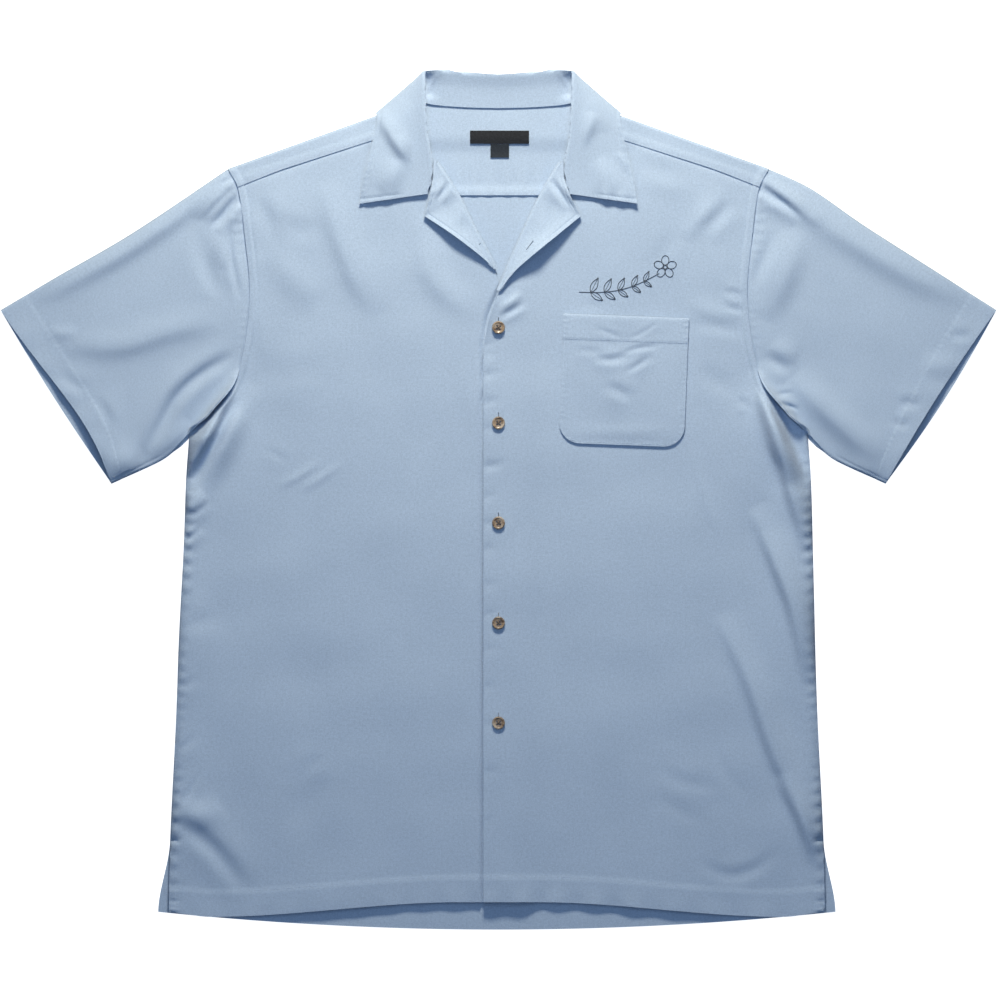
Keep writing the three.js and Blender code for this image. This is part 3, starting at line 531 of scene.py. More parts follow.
def baked(obj: bpy.types.Object) -> bpy.types.Mesh:
    """A plain mesh of an object with its modifiers applied."""
    bpy.context.view_layer.update()
    return bpy.data.meshes.new_from_object(obj.evaluated_get(bpy.context.evaluated_depsgraph_get()))


def smooth_mesh(
    name: str, corners: Array, faces: Array, grain: Array, material: bpy.types.Material
) -> bpy.types.Object:
    """A smooth mesh object of four-sided faces.

    Args:
        name: The piece's name.
        corners: Its corners, in millimetres.
        faces: The four corners of each face.
        grain: Each corner's place in the flat cloth, in millimetres.
        material: What it is made of.

    Returns:
        The object, in the scene.
    """
    mesh = bpy.data.meshes.new(name)
    mesh.vertices.add(len(corners))
    mesh.vertices.foreach_set("co", to_frame(corners).astype(np.float32).ravel())
    mesh.loops.add(faces.size)
    mesh.loops.foreach_set("vertex_index", faces.astype(np.int32).ravel())
    mesh.polygons.add(len(faces))
    mesh.polygons.foreach_set("loop_start", np.arange(0, faces.size, 4, dtype=np.int32))
    mesh.polygons.foreach_set("use_smooth", np.ones(len(faces), dtype=bool))
    grain_map = mesh.uv_layers.new(name="grain")
    grain_map.data.foreach_set("uv", (grain[faces.ravel()] * MM).astype(np.float32).ravel())
    mesh.update(calc_edges=True)
    mesh.set_sharp_from_angle(angle=RIM_ANGLE)
    mesh.materials.append(material)
    return place_in_scene(name, mesh)


def rides(obj: bpy.types.Object, slot: str, *nodes: str) -> bpy.types.Object:
    """Puts a piece on the shirt, in place of its nodes."""
    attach(obj, "root")
    if nodes:
        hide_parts(*nodes)
    LOG.info("%s: %d faces", obj.name, len(obj.data.polygons))
    return obj


def cloth_piece(
    node: str, grids: Sequence[ClothGrid], material: bpy.types.Material, name: str = "", slot: str = "cloth"
) -> bpy.types.Object:
    """One piece from the shells of one or more grids, in place of its node.

    Args:
        node: The node that it stands for.
        grids: Its parts.
        material: What it is made of.
        name: Its name up to "_cloth", where it isn't the node's.
        slot: Not used.

    Returns:
        The piece, on the shirt.
    """
    corners, faces, grain, count = [], [], [], 0
    for grid in grids:
        c, f, g = grid.shell()
        corners.append(c)
        faces.append(f + count)
        grain.append(g)
        count += len(c)
    whole = (np.concatenate(parts) for parts in (corners, faces, grain))
    return rides(smooth_mesh(f"{name or node}_cloth", *whole, material), slot, node)


# ---- The shirt's lie: outlines and heights ----
@dataclass(frozen=True)
class Lie:
    """Where the edges of the body run, and how high its two layers lie."""

    back_height: float = CLOTH / 2
    front_height: float = CLOTH / 2 + STEP
    body_loft: float = 2.4
    loft_reach: float = 34.0
    armhole_loft: float = 1.6
    side_roll: float = 4.0
    side_roll_reach: float = 4.2
    side_roll_width: float = 26.0
    gusset_y: Row = (412.0, 440.0)
    yoke_rise: float = 0.65
    front_drop: float = 0.75
    tuck: float = 2.0
    back_seam_shown: Row = (50.0, 66.0)
    back_seam_rise: float = 1.3
    overlap_rise: float = 3.1
    overlap_reach: float = 46.0
    overlap_ends: Row = (615.0, 680.0)
    trough_floor: float = 0.06
    trough_softness: float = 0.3
    neck_rise_height: float = 2.1
    neck_rise_y: Row = (744.0, 762.0)
    neck_rise_out: Row = (118.0, 136.0)
    seam_allowance: float = 6.2
    seam_allowance_rise: float = 1.2
    armhole_stitch: float = 6.6
    armhole_groove: float = 0.3
    hem_rise: float = 0.65
    hem_tilt: float = 0.3
    vent_stitch: float = 6.0
    vent_curl: float = 1.8
    vent_curl_reach: float = 5.0
    vent_fade: float = 18.0
    vent_tack: float = 2.2
    vent_tack_width: float = 1.3
    vent_tack_ends: Row = (7.0, 11.0)
    placket_groove: float = 2.7
    break_ys: Row = (564.0, 590.0, 622.0)
    break_gap: float = 1.0
    break_rise: float = 2.6
    break_reach: float = 7.0
    break_widening: float = 1.6
    under_edge_gap: float = 0.9
    under_edge_width: float = 1.5
    drag_slope: float = 0.16
    drag_width: float = 4.0
    side_drags: Gathers = Gathers(13, 7, 1.7, 1.3)
    side_gathers: Gathers = Gathers(5.4, 5, 0.8, 0.2)
    armhole_gathers: Gathers = Gathers(4.2, 2.6, 0.12, 0.4)
    hem_gathers: Gathers = Gathers(5.2, 3.5, 0.3, 2.2)
    hem_waves: Gathers = Gathers(36, 10, 0.8, 0.7)
    vent_gathers: Gathers = Gathers(5, 4, 0.35, 1.1)
    waviness: Unevenness = field(default_factory=lambda: Unevenness(11, 0.22, 14, 50.0))
    crumple: Unevenness = field(default_factory=lambda: Unevenness(5, 0.012, 16, 9.0, 26.0))

    def body_edge(self, y: Array) -> Array:
        """The outer edge of the body: its side seam below the underarm and its armhole above."""
        return np.where(y < UNDERARM[1], out_at(SIDE_SEAM, y), out_at(ARMHOLE, y))

    def front_edge(self, side: Side, y: Array) -> Array:
        """The front edge, roll and neck seam of a front."""
        return out_at(LEFT_EDGE if side is Side.LEFT else RIGHT_EDGE, y)

    def shoulder_y(self, out: Array) -> Array:
        """The fold of the shoulder, from the neck to the armhole."""
        share = (out - SHOULDER_NECK[0]) / (SHOULDER_TIP[0] - SHOULDER_NECK[0])
        return blend(SHOULDER_NECK[1], SHOULDER_TIP[1], share)

    def yoke_seam_y(self, out: Array) -> Array:
        """The seam between the yoke and a front."""
        share = (out - YOKE_FRONT_NECK[0]) / (YOKE_FRONT_TIP[0] - YOKE_FRONT_NECK[0])
        return blend(YOKE_FRONT_NECK[1], YOKE_FRONT_TIP[1], share)

    def front_hem_y(self, out: Array) -> Array:
        """The front hem's height over the back hem's lowest point."""
        corner_y, corner_out = FRONT_HEM_CORNER
        fall = (FRONT_HEM_CENTRE - FRONT_HEM_LOW) * smooth(out, FRONT_HEM_FLAT_OUT, FRONT_HEM_LOW_OUT)
        return FRONT_HEM_CENTRE - fall + (corner_y - FRONT_HEM_LOW) * smooth(out, FRONT_HEM_LOW_OUT, corner_out)

    def neck_rise(self, x: Array, y: Array) -> Array:
        """How far the yoke and fronts are lifted by the collar that runs behind the neck."""
        return self.neck_rise_height * smooth(y, *self.neck_rise_y) * fade(np.abs(x), *self.neck_rise_out)

    def armhole_lift(self, y: Array) -> Array:
        """The lift of the armhole seam, from nothing at the underarm to nothing at the shoulder."""
        t = np.clip((y - UNDERARM[1]) / (SHOULDER_TIP[1] - UNDERARM[1]), 0, 1)
        return self.armhole_loft * np.sin(math.pi * t)

    def armhole_slant(self, y: Array) -> Array:
        """How much longer a step straight in from the armhole seam is than one square to it."""
        slope = (out_at(ARMHOLE, y + 2) - out_at(ARMHOLE, y - 2)) / 4
        return np.sqrt(1 + slope**2)

    def armhole_inset(self, x: Array, y: Array) -> Array:
        """The distance in from the armhole seam, measured square to it."""
        return (out_at(ARMHOLE, y) - np.abs(x)) / self.armhole_slant(y)

    def body_height(self, x: Array, y: Array) -> Array:
        """The middle of the body's upper layer: the fronts, and the strip of the yoke above them."""
        inset = np.maximum(np.minimum(self.body_edge(y) - np.abs(x), self.shoulder_y(np.abs(x)) - y), 0)
        edge = self.armhole_lift(y)
        puff = edge + (self.body_loft - edge) * (1 - np.exp(-inset / self.loft_reach))
        roll = (1 - np.exp(-inset / self.side_roll_reach)) * bell(inset, self.side_roll_width)
        puff += self.side_roll * roll * fade(y, *self.gusset_y)
        folds = folds_lift(BODY_FOLDS, x, y)
        folds += self.waviness.lift(x, y) + self.crumple.lift(x, y)
        folds += (self.side_drags.lift(y, inset) + self.side_gathers.lift(y, inset)) * fade(y, 440, 470)
        shown = puff + folds * (1 - np.exp(-inset / 2.4))
        floor = puff * self.trough_floor
        shown = floor + above_zero(shown - floor, self.trough_softness)
        return self.front_height + self.neck_rise(x, y) + shown + self.seam_band(x, y)

    def seam_band(self, x: Array, y: Array) -> Array:
        """The seam allowance that is pressed in along the armhole and stitched down."""
        inset = self.armhole_inset(x, y)
        there = smooth(y, UNDERARM[1] + 6, UNDERARM[1] + 22) * (inset < 14)
        band = self.seam_allowance_rise * fade(inset, self.seam_allowance - 1, self.seam_allowance + 1)
        groove = self.armhole_groove * bell(inset - self.armhole_stitch, 1.3)
        return there * (band - groove + self.armhole_gathers.lift(y, inset - self.seam_allowance))

    def at_break(self, y: Array) -> Array:
        """1 where the left front begins to roll back over the right one, 0 away from there."""
        low, middle, high = self.break_ys
        return smooth(y, low, middle) * fade(y, middle + 8, high)

    def hem_lift(self, x: Array, y: Array) -> Array:
        """The turned-up hem of a front: its step, the tilt of its edge and its gathers."""
        up = y - self.front_hem_y(np.abs(x))
        step = self.hem_rise * fade(up, BODY_HEM - 1.6, BODY_HEM + 1.6) + self.hem_tilt * fade(up, 0, 20)
        return step + self.hem_gathers.lift(x, up - BODY_HEM) + self.hem_waves.lift(x, up)

    def vent_lift(self, x: Array, y: Array) -> Array:
        """The slit at a front's side: its curled edge, the gathers beside it and the tack at its top."""
        inset = self.body_edge(y) - np.abs(x)
        curl = self.vent_curl * np.exp(-inset / self.vent_curl_reach)
        curl += self.vent_gathers.lift(y, inset - self.vent_stitch)
        tack = self.vent_tack * bell(y - VENT_TOP, self.vent_tack_width) * fade(inset, *self.vent_tack_ends)
        return curl * fade(y, VENT_TOP - self.vent_fade, VENT_TOP) - tack

    def under_edge(self, x: Array, y: Array) -> Array:
        """How far the right front is pressed down beside the left one's edge, most where the lapels begin."""
        at_break = self.at_break(y)
        beside = out_at(LEFT_EDGE, y) - self.under_edge_gap - x
        width = self.under_edge_width + self.break_widening * at_break
        under = bell(beside, width) * fade(y, *self.overlap_ends)
        return (self.placket_groove + self.break_gap * at_break) * under

    def over_edge(self, x: Array, y: Array) -> Array:
        """How far the left front rises over the right one, with short drags across its edge."""
        rise = self.overlap_rise * fade(x, OVERLAP + 2, self.overlap_reach) * fade(y, *self.overlap_ends)
        rise += self.break_rise * self.at_break(y) * np.exp(-np.maximum(x - out_at(LEFT_EDGE, y), 0) / self.break_reach)
        from_edge = x + OVERLAP
        for at, length, depth in PLACKET_DRAGS:
            wave = depth * bell(y - at - self.drag_slope * from_edge, self.drag_width)
            rise += wave * fade(from_edge, 2, length) * smooth(from_edge, -1, 3)
        return rise

    def front_height_at(self, side: Side, x: Array, y: Array) -> Array:
        """The middle of a front. The left one rises over the edge of the right one as far up as the lapels."""
        height = self.body_height(x, y) + self.hem_lift(x, y) + self.vent_lift(x, y)
        height -= self.front_drop * smooth(y - self.yoke_seam_y(np.abs(x)), -1.2, 0.2)
        if side is Side.RIGHT:
            return height - self.under_edge(x, y)
        return height + self.over_edge(x, y)


LIE = Lie()
LEFT_FRONT = partial(LIE.front_height_at, Side.LEFT)


# ---- Materials ----
class Value:
    """A socket in a material, on which sums are written as plain expressions."""

    def __init__(self, kit: "NodeKit", socket: bpy.types.NodeSocket) -> None:
        self.kit = kit
        self.socket = socket

    def __add__(self, other: "Value | float") -> "Value":
        """The sum of two values."""
        return self.kit.math("ADD", self, other)

    __radd__ = __add__

    def __mul__(self, other: "Value | float") -> "Value":
        """The product of two values."""
        return self.kit.math("MULTIPLY", self, other)

    __rmul__ = __mul__

    def __sub__(self, other: "Value | float") -> "Value":
        """This value less another."""
        return self.kit.math("SUBTRACT", self, other)

    def __rsub__(self, other: "Value | float") -> "Value":
        """Another value less this one."""
        return self.kit.math("SUBTRACT", other, self)

    def __pow__(self, other: "Value | float") -> "Value":
        """This value to a power."""
        return self.kit.math("POWER", self, other)


@dataclass
class NodeKit:
    """The nodes of one material."""

    tree: bpy.types.NodeTree

    def node(self, kind: str, settings: dict | None = None, inputs: dict | None = None) -> bpy.types.Node:
        """Adds a node.

        Args:
            kind: The node's type.
            settings: Its own properties, set first.
            inputs: Values or links for its sockets, by name or number.

        Returns:
            The node.
        """
        made = self.tree.nodes.new(kind)
        for name, value in (settings or {}).items():
            setattr(made, name, value)
        for name, value in (inputs or {}).items():
            socket = made.inputs[name]
            source = value.socket if isinstance(value, Value) else value
            if isinstance(source, bpy.types.NodeSocket):
                self.tree.links.new(source, socket)
            else:
                socket.default_value = source
        return made

    def math(self, operation: str, a: "Value | float", b: "Value | float" = 0.0) -> Value:
        """One Math node."""
        made = self.node("ShaderNodeMath", {"operation": operation}, {0: a, 1: b})
        return Value(self, made.outputs[0])

    def sine(self, value: Value) -> Value:
        """The sine of a value."""
        return self.math("SINE", value)

    def ramp(self, value: Value, low: float, high: float) -> Value:
        """0 at low, 1 at high, level beyond them."""
        made = self.node("ShaderNodeMapRange", None, {"Value": value, "From Min": low, "From Max": high})
        return Value(self, made.outputs["Result"])

    def place(self, source: str, scale: Row) -> bpy.types.NodeSocket:
        """Places on the piece: "grain" for its own cloth, or "object" for the shirt's frame, stretched by a scale."""
        if source == "grain":
            socket = self.node("ShaderNodeUVMap", {"uv_map": "grain"}).outputs["UV"]
        else:
            socket = self.node("ShaderNodeTexCoord").outputs["Object"]
        return self.node("ShaderNodeMapping", None, {"Vector": socket, "Scale": scale}).outputs["Vector"]

    def noise(self, source: str, scale: Row, detail: float = 2.0, roughness: float = 0.5) -> Value:
        """Noise from 0 to 1 around 0.5, with so many features a metre along each axis."""
        inputs = {"Vector": self.place(source, scale), "Scale": 1.0, "Detail": detail, "Roughness": roughness}
        return Value(self, self.node("ShaderNodeTexNoise", None, inputs).outputs["Fac"])

    def mix(self, a: Row, b: Row | bpy.types.NodeSocket, share: Value) -> bpy.types.NodeSocket:
        """The colour at a share of the way from a to b."""
        inputs = {0: share, 6: (*a, 1.0) if isinstance(a, tuple) else a, 7: (*b, 1.0) if isinstance(b, tuple) else b}
        return self.node("ShaderNodeMix", {"data_type": "RGBA"}, inputs).outputs[2]

    def bump(self, height: Value, distance: float, strength: float = 1.0) -> bpy.types.NodeSocket:
        """A normal from a height of 0 to 1, at a depth in metres."""
        inputs = {"Height": height, "Distance": distance, "Strength": strength}
        return self.node("ShaderNodeBump", None, inputs).outputs["Normal"]


def new_material(name: str, **constants: float | Row) -> tuple[bpy.types.Material, NodeKit, bpy.types.Node]:
    """A material with its shader's fixed values set.

    Args:
        name: The finish's name.
        constants: Values of the shader's sockets, with _ for a space.

    Returns:
        The material, its nodes and its shader.
    """
    material = bpy.data.materials.new(name)
    material.use_nodes = True
    shader = material.node_tree.nodes["Principled BSDF"]
    for key, value in constants.items():
        shader.inputs[key.replace("_", " ")].default_value = value
    return material, NodeKit(material.node_tree), shader


def link(kit: NodeKit, shader: bpy.types.Node, **sources: Value | bpy.types.NodeSocket) -> None:
    """Links what changes over the surface to the shader's sockets."""
    for key, source in sources.items():
        socket = source.socket if isinstance(source, Value) else source
        kit.tree.links.new(socket, shader.inputs[key.replace("_", " ")])


@dataclass(frozen=True)
class WovenFinish:
    """A plain woven cloth: warp and weft, slubs, and a soft mottle."""

    name: str
    dark: Row
    light: Row
    thread_pitch: float = 0.00055
    roughness: float = 0.8
    sheen: float = 0.25
    weave_depth: float = 0.00012
    slub_tone: float = 0.5
    fleck_tone: float = 2.4
    speck_tone: float = 1.3
    cloud_tone: float = 0.5
    weave_tone: float = 0.1

    def material(self) -> bpy.types.Material:
        """Builds the finish."""
        material, kit, shader = new_material(
            self.name, Sheen_Weight=self.sheen, Sheen_Roughness=0.45, Specular_IOR_Level=0.3,
        )
        per_metre = TAU / self.thread_pitch
        grain = kit.node("ShaderNodeSeparateXYZ", None, {0: kit.place("grain", (1.0, 1.0, 1.0))})
        across, along = Value(kit, grain.outputs[0]), Value(kit, grain.outputs[1])
        warp, weft = kit.sine(across * per_metre), kit.sine(along * per_metre)
        weave = warp * weft * 0.5 + 0.5
        slub = kit.noise("grain", (130, 1500, 1), 3) + kit.noise("grain", (1500, 130, 1), 3)
        fleck = kit.noise("grain", (800, 800, 1), 2, 0.6)
        speck = kit.noise("grain", (380, 380, 1), 2)
        cloud = kit.noise("grain", (22, 22, 1), 3)
        tone = 0.5 + (slub - 1.0) * self.slub_tone + (fleck - 0.5) * self.fleck_tone
        tone = tone + (speck - 0.5) * self.speck_tone + (cloud - 0.5) * self.cloud_tone
        tone = tone + (weave - 0.5) * self.weave_tone
        height = weave * 0.45 + slub * 0.35 + fleck * 0.5
        link(
            kit,
            shader,
            Base_Color=kit.mix(self.dark, self.light, kit.ramp(tone, 0.0, 1.0)),
            Roughness=self.roughness + (fleck - 0.5) * 0.12,
            Normal=kit.bump(height, self.weave_depth),
        )
        return material


@dataclass(frozen=True)
class ThreadFinish:
    """Sewing thread with a slight twist and lustre."""

    name: str
    dark: Row
    light: Row

    def material(self) -> bpy.types.Material:
        """Builds the finish."""
        material, kit, shader = new_material(self.name, Sheen_Weight=0.3, Sheen_Roughness=0.35)
        twist = kit.noise("object", (2600, 2600, 2600), 2)
        tone = kit.noise("object", (300, 300, 300), 1)
        link(
            kit,
            shader,
            Base_Color=kit.mix(self.dark, self.light, tone * 0.6 + twist * 0.4),
            Roughness=0.5 + twist * 0.2,
            Normal=kit.bump(twist, 0.00012),
        )
        return material


@dataclass(frozen=True)
class HornFinish:
    """Mottled, polished horn."""

    name: str
    dark: Row
    tan: Row
    pale: Row

    def material(self) -> bpy.types.Material:
        """Builds the finish."""
        material, kit, shader = new_material(self.name, Coat_Weight=0.35, Coat_Roughness=0.12)
        streak = kit.noise("object", (160, 560, 300), 4, 0.6)
        cloud = kit.noise("object", (130, 130, 130), 2)
        body = kit.mix(self.dark, self.tan, kit.ramp(streak, 0.36, 0.6))
        link(
            kit,
            shader,
            Base_Color=kit.mix(body, self.pale, kit.ramp(cloud, 0.52, 0.78)),
            Roughness=0.28 + streak * 0.2,
            Normal=kit.bump(streak, 0.00006),
        )
        return material


CHAMBRAY = WovenFinish("chambray", (0.335, 0.425, 0.555), (0.425, 0.53, 0.675))
LABEL_SATIN = WovenFinish("label_satin", (0.006, 0.007, 0.009), (0.016, 0.018, 0.023), 0.0004, 0.7, 0.0, 0.00008)
TAB_SATIN = WovenFinish("tab_satin", (0.012, 0.016, 0.022), (0.026, 0.033, 0.044), 0.0004, 0.7, 0.0, 0.00008)
SEAM_THREAD = ThreadFinish("seam_thread", (0.34, 0.43, 0.56), (0.47, 0.58, 0.72))
MOTIF_THREAD = ThreadFinish("motif_thread", (0.03, 0.042, 0.062), (0.065, 0.088, 0.125))
BUTTON_THREAD = ThreadFinish("button_thread", (0.05, 0.03, 0.018), (0.12, 0.08, 0.05))
HORN = HornFinish("horn", (0.075, 0.042, 0.022), (0.33, 0.235, 0.15), (0.56, 0.48, 0.38))


@dataclass
class Finishes:
    """The built materials."""

    cloth: bpy.types.Material
    label: bpy.types.Material
    tab: bpy.types.Material
    thread: bpy.types.Material
    motif: bpy.types.Material
    button_thread: bpy.types.Material
    horn: bpy.types.Material


# ---- Stitches ----
class StitchKind(Enum):
    """A kind of stitching: the length of a stitch, the gap after it and the thread's radius."""

    SEAM = (2.1, 1.1, 0.17)
    FAINT = (2.1, 1.1, 0.09)
    EDGE = (2.4, 1.2, 0.26)
    MOTIF = (1.9, -0.6, 0.46)
    FINE = (1.5, -0.4, 0.3)
    BUTTONHOLE = (0.9, -0.45, 0.34)


@dataclass
class StitchTree:
    """The node tree that lays one stitch after another along a line."""

    tree: bpy.types.NodeTree

    @classmethod
    def build(cls) -> "StitchTree":
        """Builds the tree, with named inputs for its sizes."""
        tree = bpy.data.node_groups.new("stitch_row", "GeometryNodeTree")
        face = tree.interface
        face.new_socket("Line", in_out="INPUT", socket_type="NodeSocketGeometry")
        for name in ("Pitch", "Half length", "Radius"):
            face.new_socket(name, in_out="INPUT", socket_type="NodeSocketFloat")
        face.new_socket("Thread", in_out="INPUT", socket_type="NodeSocketMaterial")
        face.new_socket("Stitches", in_out="OUTPUT", socket_type="NodeSocketGeometry")
        kit = NodeKit(tree)
        given = kit.node("NodeGroupInput").outputs
        curve = kit.node("GeometryNodeMeshToCurve", None, {"Mesh": given["Line"]})
        points = kit.node(
            "GeometryNodeResampleCurve", {"mode": "LENGTH"}, {"Curve": curve.outputs[0], "Length": given["Pitch"]}
        )
        bead = kit.node("GeometryNodeMeshUVSphere", None, {"Segments": 6, "Rings": 4, "Radius": 1.0})
        along = kit.node("GeometryNodeInputTangent").outputs[0]
        turn = kit.node("FunctionNodeAlignRotationToVector", {"axis": "X"}, {"Vector": along})
        size = kit.node(
            "ShaderNodeCombineXYZ", None, {0: given["Half length"], 1: given["Radius"], 2: given["Radius"]}
        )
        placed = kit.node(
            "GeometryNodeInstanceOnPoints",
            None,
            {
                "Points": points.outputs[0],
                "Instance": bead.outputs["Mesh"],
                "Rotation": turn.outputs[0],
                "Scale": size.outputs[0],
            },
        )
        real = kit.node("GeometryNodeRealizeInstances", None, {"Geometry": placed.outputs[0]})
        even = kit.node("GeometryNodeSetShadeSmooth", None, {0: real.outputs[0]})
        dressed = kit.node("GeometryNodeSetMaterial", None, {"Geometry": even.outputs[0], "Material": given["Thread"]})
        kit.node("NodeGroupOutput", None, {"Stitches": dressed.outputs[0]})
        return cls(tree)

    def sew(
        self, name: str, lines: Sequence[Array], kind: StitchKind, thread: bpy.types.Material
    ) -> bpy.types.Object:
        """Stitches along lines, as one plain mesh.

        Args:
            name: The piece's name.
            lines: Runs of points in millimetres.
            kind: The kind of stitching.
            thread: What it is sewn with.

        Returns:
            The stitches, on the shirt.
        """
        stitch, gap, radius = kind.value
        points = to_frame(np.concatenate(lines))
        edges, start = [], 0
        for line in lines:
            edges += [(start + k, start + k + 1) for k in range(len(line) - 1)]
            start += len(line)
        guide_mesh = bpy.data.meshes.new(name + "_guide")
        guide_mesh.from_pydata(points.tolist(), edges, [])
        guide = place_in_scene(name + "_guide", guide_mesh)
        modifier = guide.modifiers.new("stitch_row", "NODES")
        modifier.node_group = self.tree
        wanted = {
            "Pitch": (stitch + gap) * MM,
            "Half length": stitch / 2 * MM,
            "Radius": radius * MM,
            "Thread": thread,
        }
        for item in self.tree.interface.items_tree:
            if item.in_out == "INPUT" and item.name in wanted:
                modifier[item.identifier] = wanted[item.name]
        mesh = baked(guide)
        mesh.name = name
        bpy.data.objects.remove(guide)
        return rides(place_in_scene(name, mesh), "cloth")


def line_on(plan: Array, height: Callable[[Array, Array], Array], proud: float = 0.0) -> Array:
    """A plan line laid on a surface.

    Args:
        plan: Its points, as (x, y) rows.
        height: The middle of the cloth that it lies on.
        proud: How far its own middle stands over the cloth's face.

    Returns:
        The line's points.
    """
    plan = np.asarray(plan, float)
    x, y = plan[:, 0], plan[:, 1]
    return np.stack([x, y, height(x, y) + CLOTH / 2 + proud], axis=1)


# ---- Back and yoke ----
@dataclass
class BackPanel:
    """The back below the yoke, with its turned-up hem."""

    hem_corner: float = 17.1
    hem_corner_out: float = 323.5
    stitched_out: float = 300.0
    cell: float = 4.4

    def hem_y(self, out: Array) -> Array:
        """The back hem's height over its own lowest point."""
        return self.hem_corner * (out / self.hem_corner_out) ** 2

    def edge(self, y: Array) -> Array:
        """The back's side edge, which swings out beyond the front's below the vents."""
        return LIE.body_edge(y) + (self.hem_corner_out - FRONT_HEM_CORNER[1]) * fade(y, self.hem_corner, VENT_TOP)

    def height(self, x: Array, y: Array) -> Array:
        """The middle of the back, a little off the ground away from its edges."""
        inset = np.clip(np.minimum(self.edge(y) - np.abs(x), y), 0, 200)
        relief = folds_lift(BACK_FOLDS, x, y) + Unevenness(23, 0.1).lift(x, y) + 0.35
        hem = 0.15 * fade(y, BODY_HEM - 1, BODY_HEM + 1)
        return CLOTH / 2 + hem + np.clip(relief, 0, 1.1) * smooth(inset, 20, 70) * fade(y, 640, 700)

    def grid(self) -> ClothGrid:
        """The middle of the panel."""
        top = YOKE_BACK_Y - GAP
        ys = spaced(top, self.cell, 1, 1.2, 14) * top
        t = spaced(2 * UNDERARM[0], self.cell, 1, 1.2, 10) * 2 - 1
        pull = fade(ys, 0, UNDERARM[1] / 2)[:, None]
        y = ys[:, None] + self.hem_y(self.edge(np.array(self.hem_corner)) * t) * pull
        x = self.edge(y) * t
        y = y + (LIE.tuck + GAP) * smooth(y, top - 12, top) * fade(np.abs(x), *LIE.back_seam_shown)
        thick = np.where(ys <= BODY_HEM, BODY_HEM_CLOTH, CLOTH)
        return ClothGrid(np.stack([x, y, self.height(x, y)], axis=2), thick, upright=True)

    def build(self, finishes: Finishes, stitches: StitchTree) -> None:
        """Makes the panel and the stitches of its hem."""
        back = cloth_piece("back_panel", [self.grid()], finishes.cloth, "back")
        x = np.linspace(-self.stitched_out, self.stitched_out, 240)
        hem = line_on(np.stack([x, self.hem_y(x) + BODY_HEM], axis=1), self.height, STITCH_PROUD)
        sewn = stitches.sew("back_hem_stitches", [hem], StitchKind.SEAM, finishes.thread)


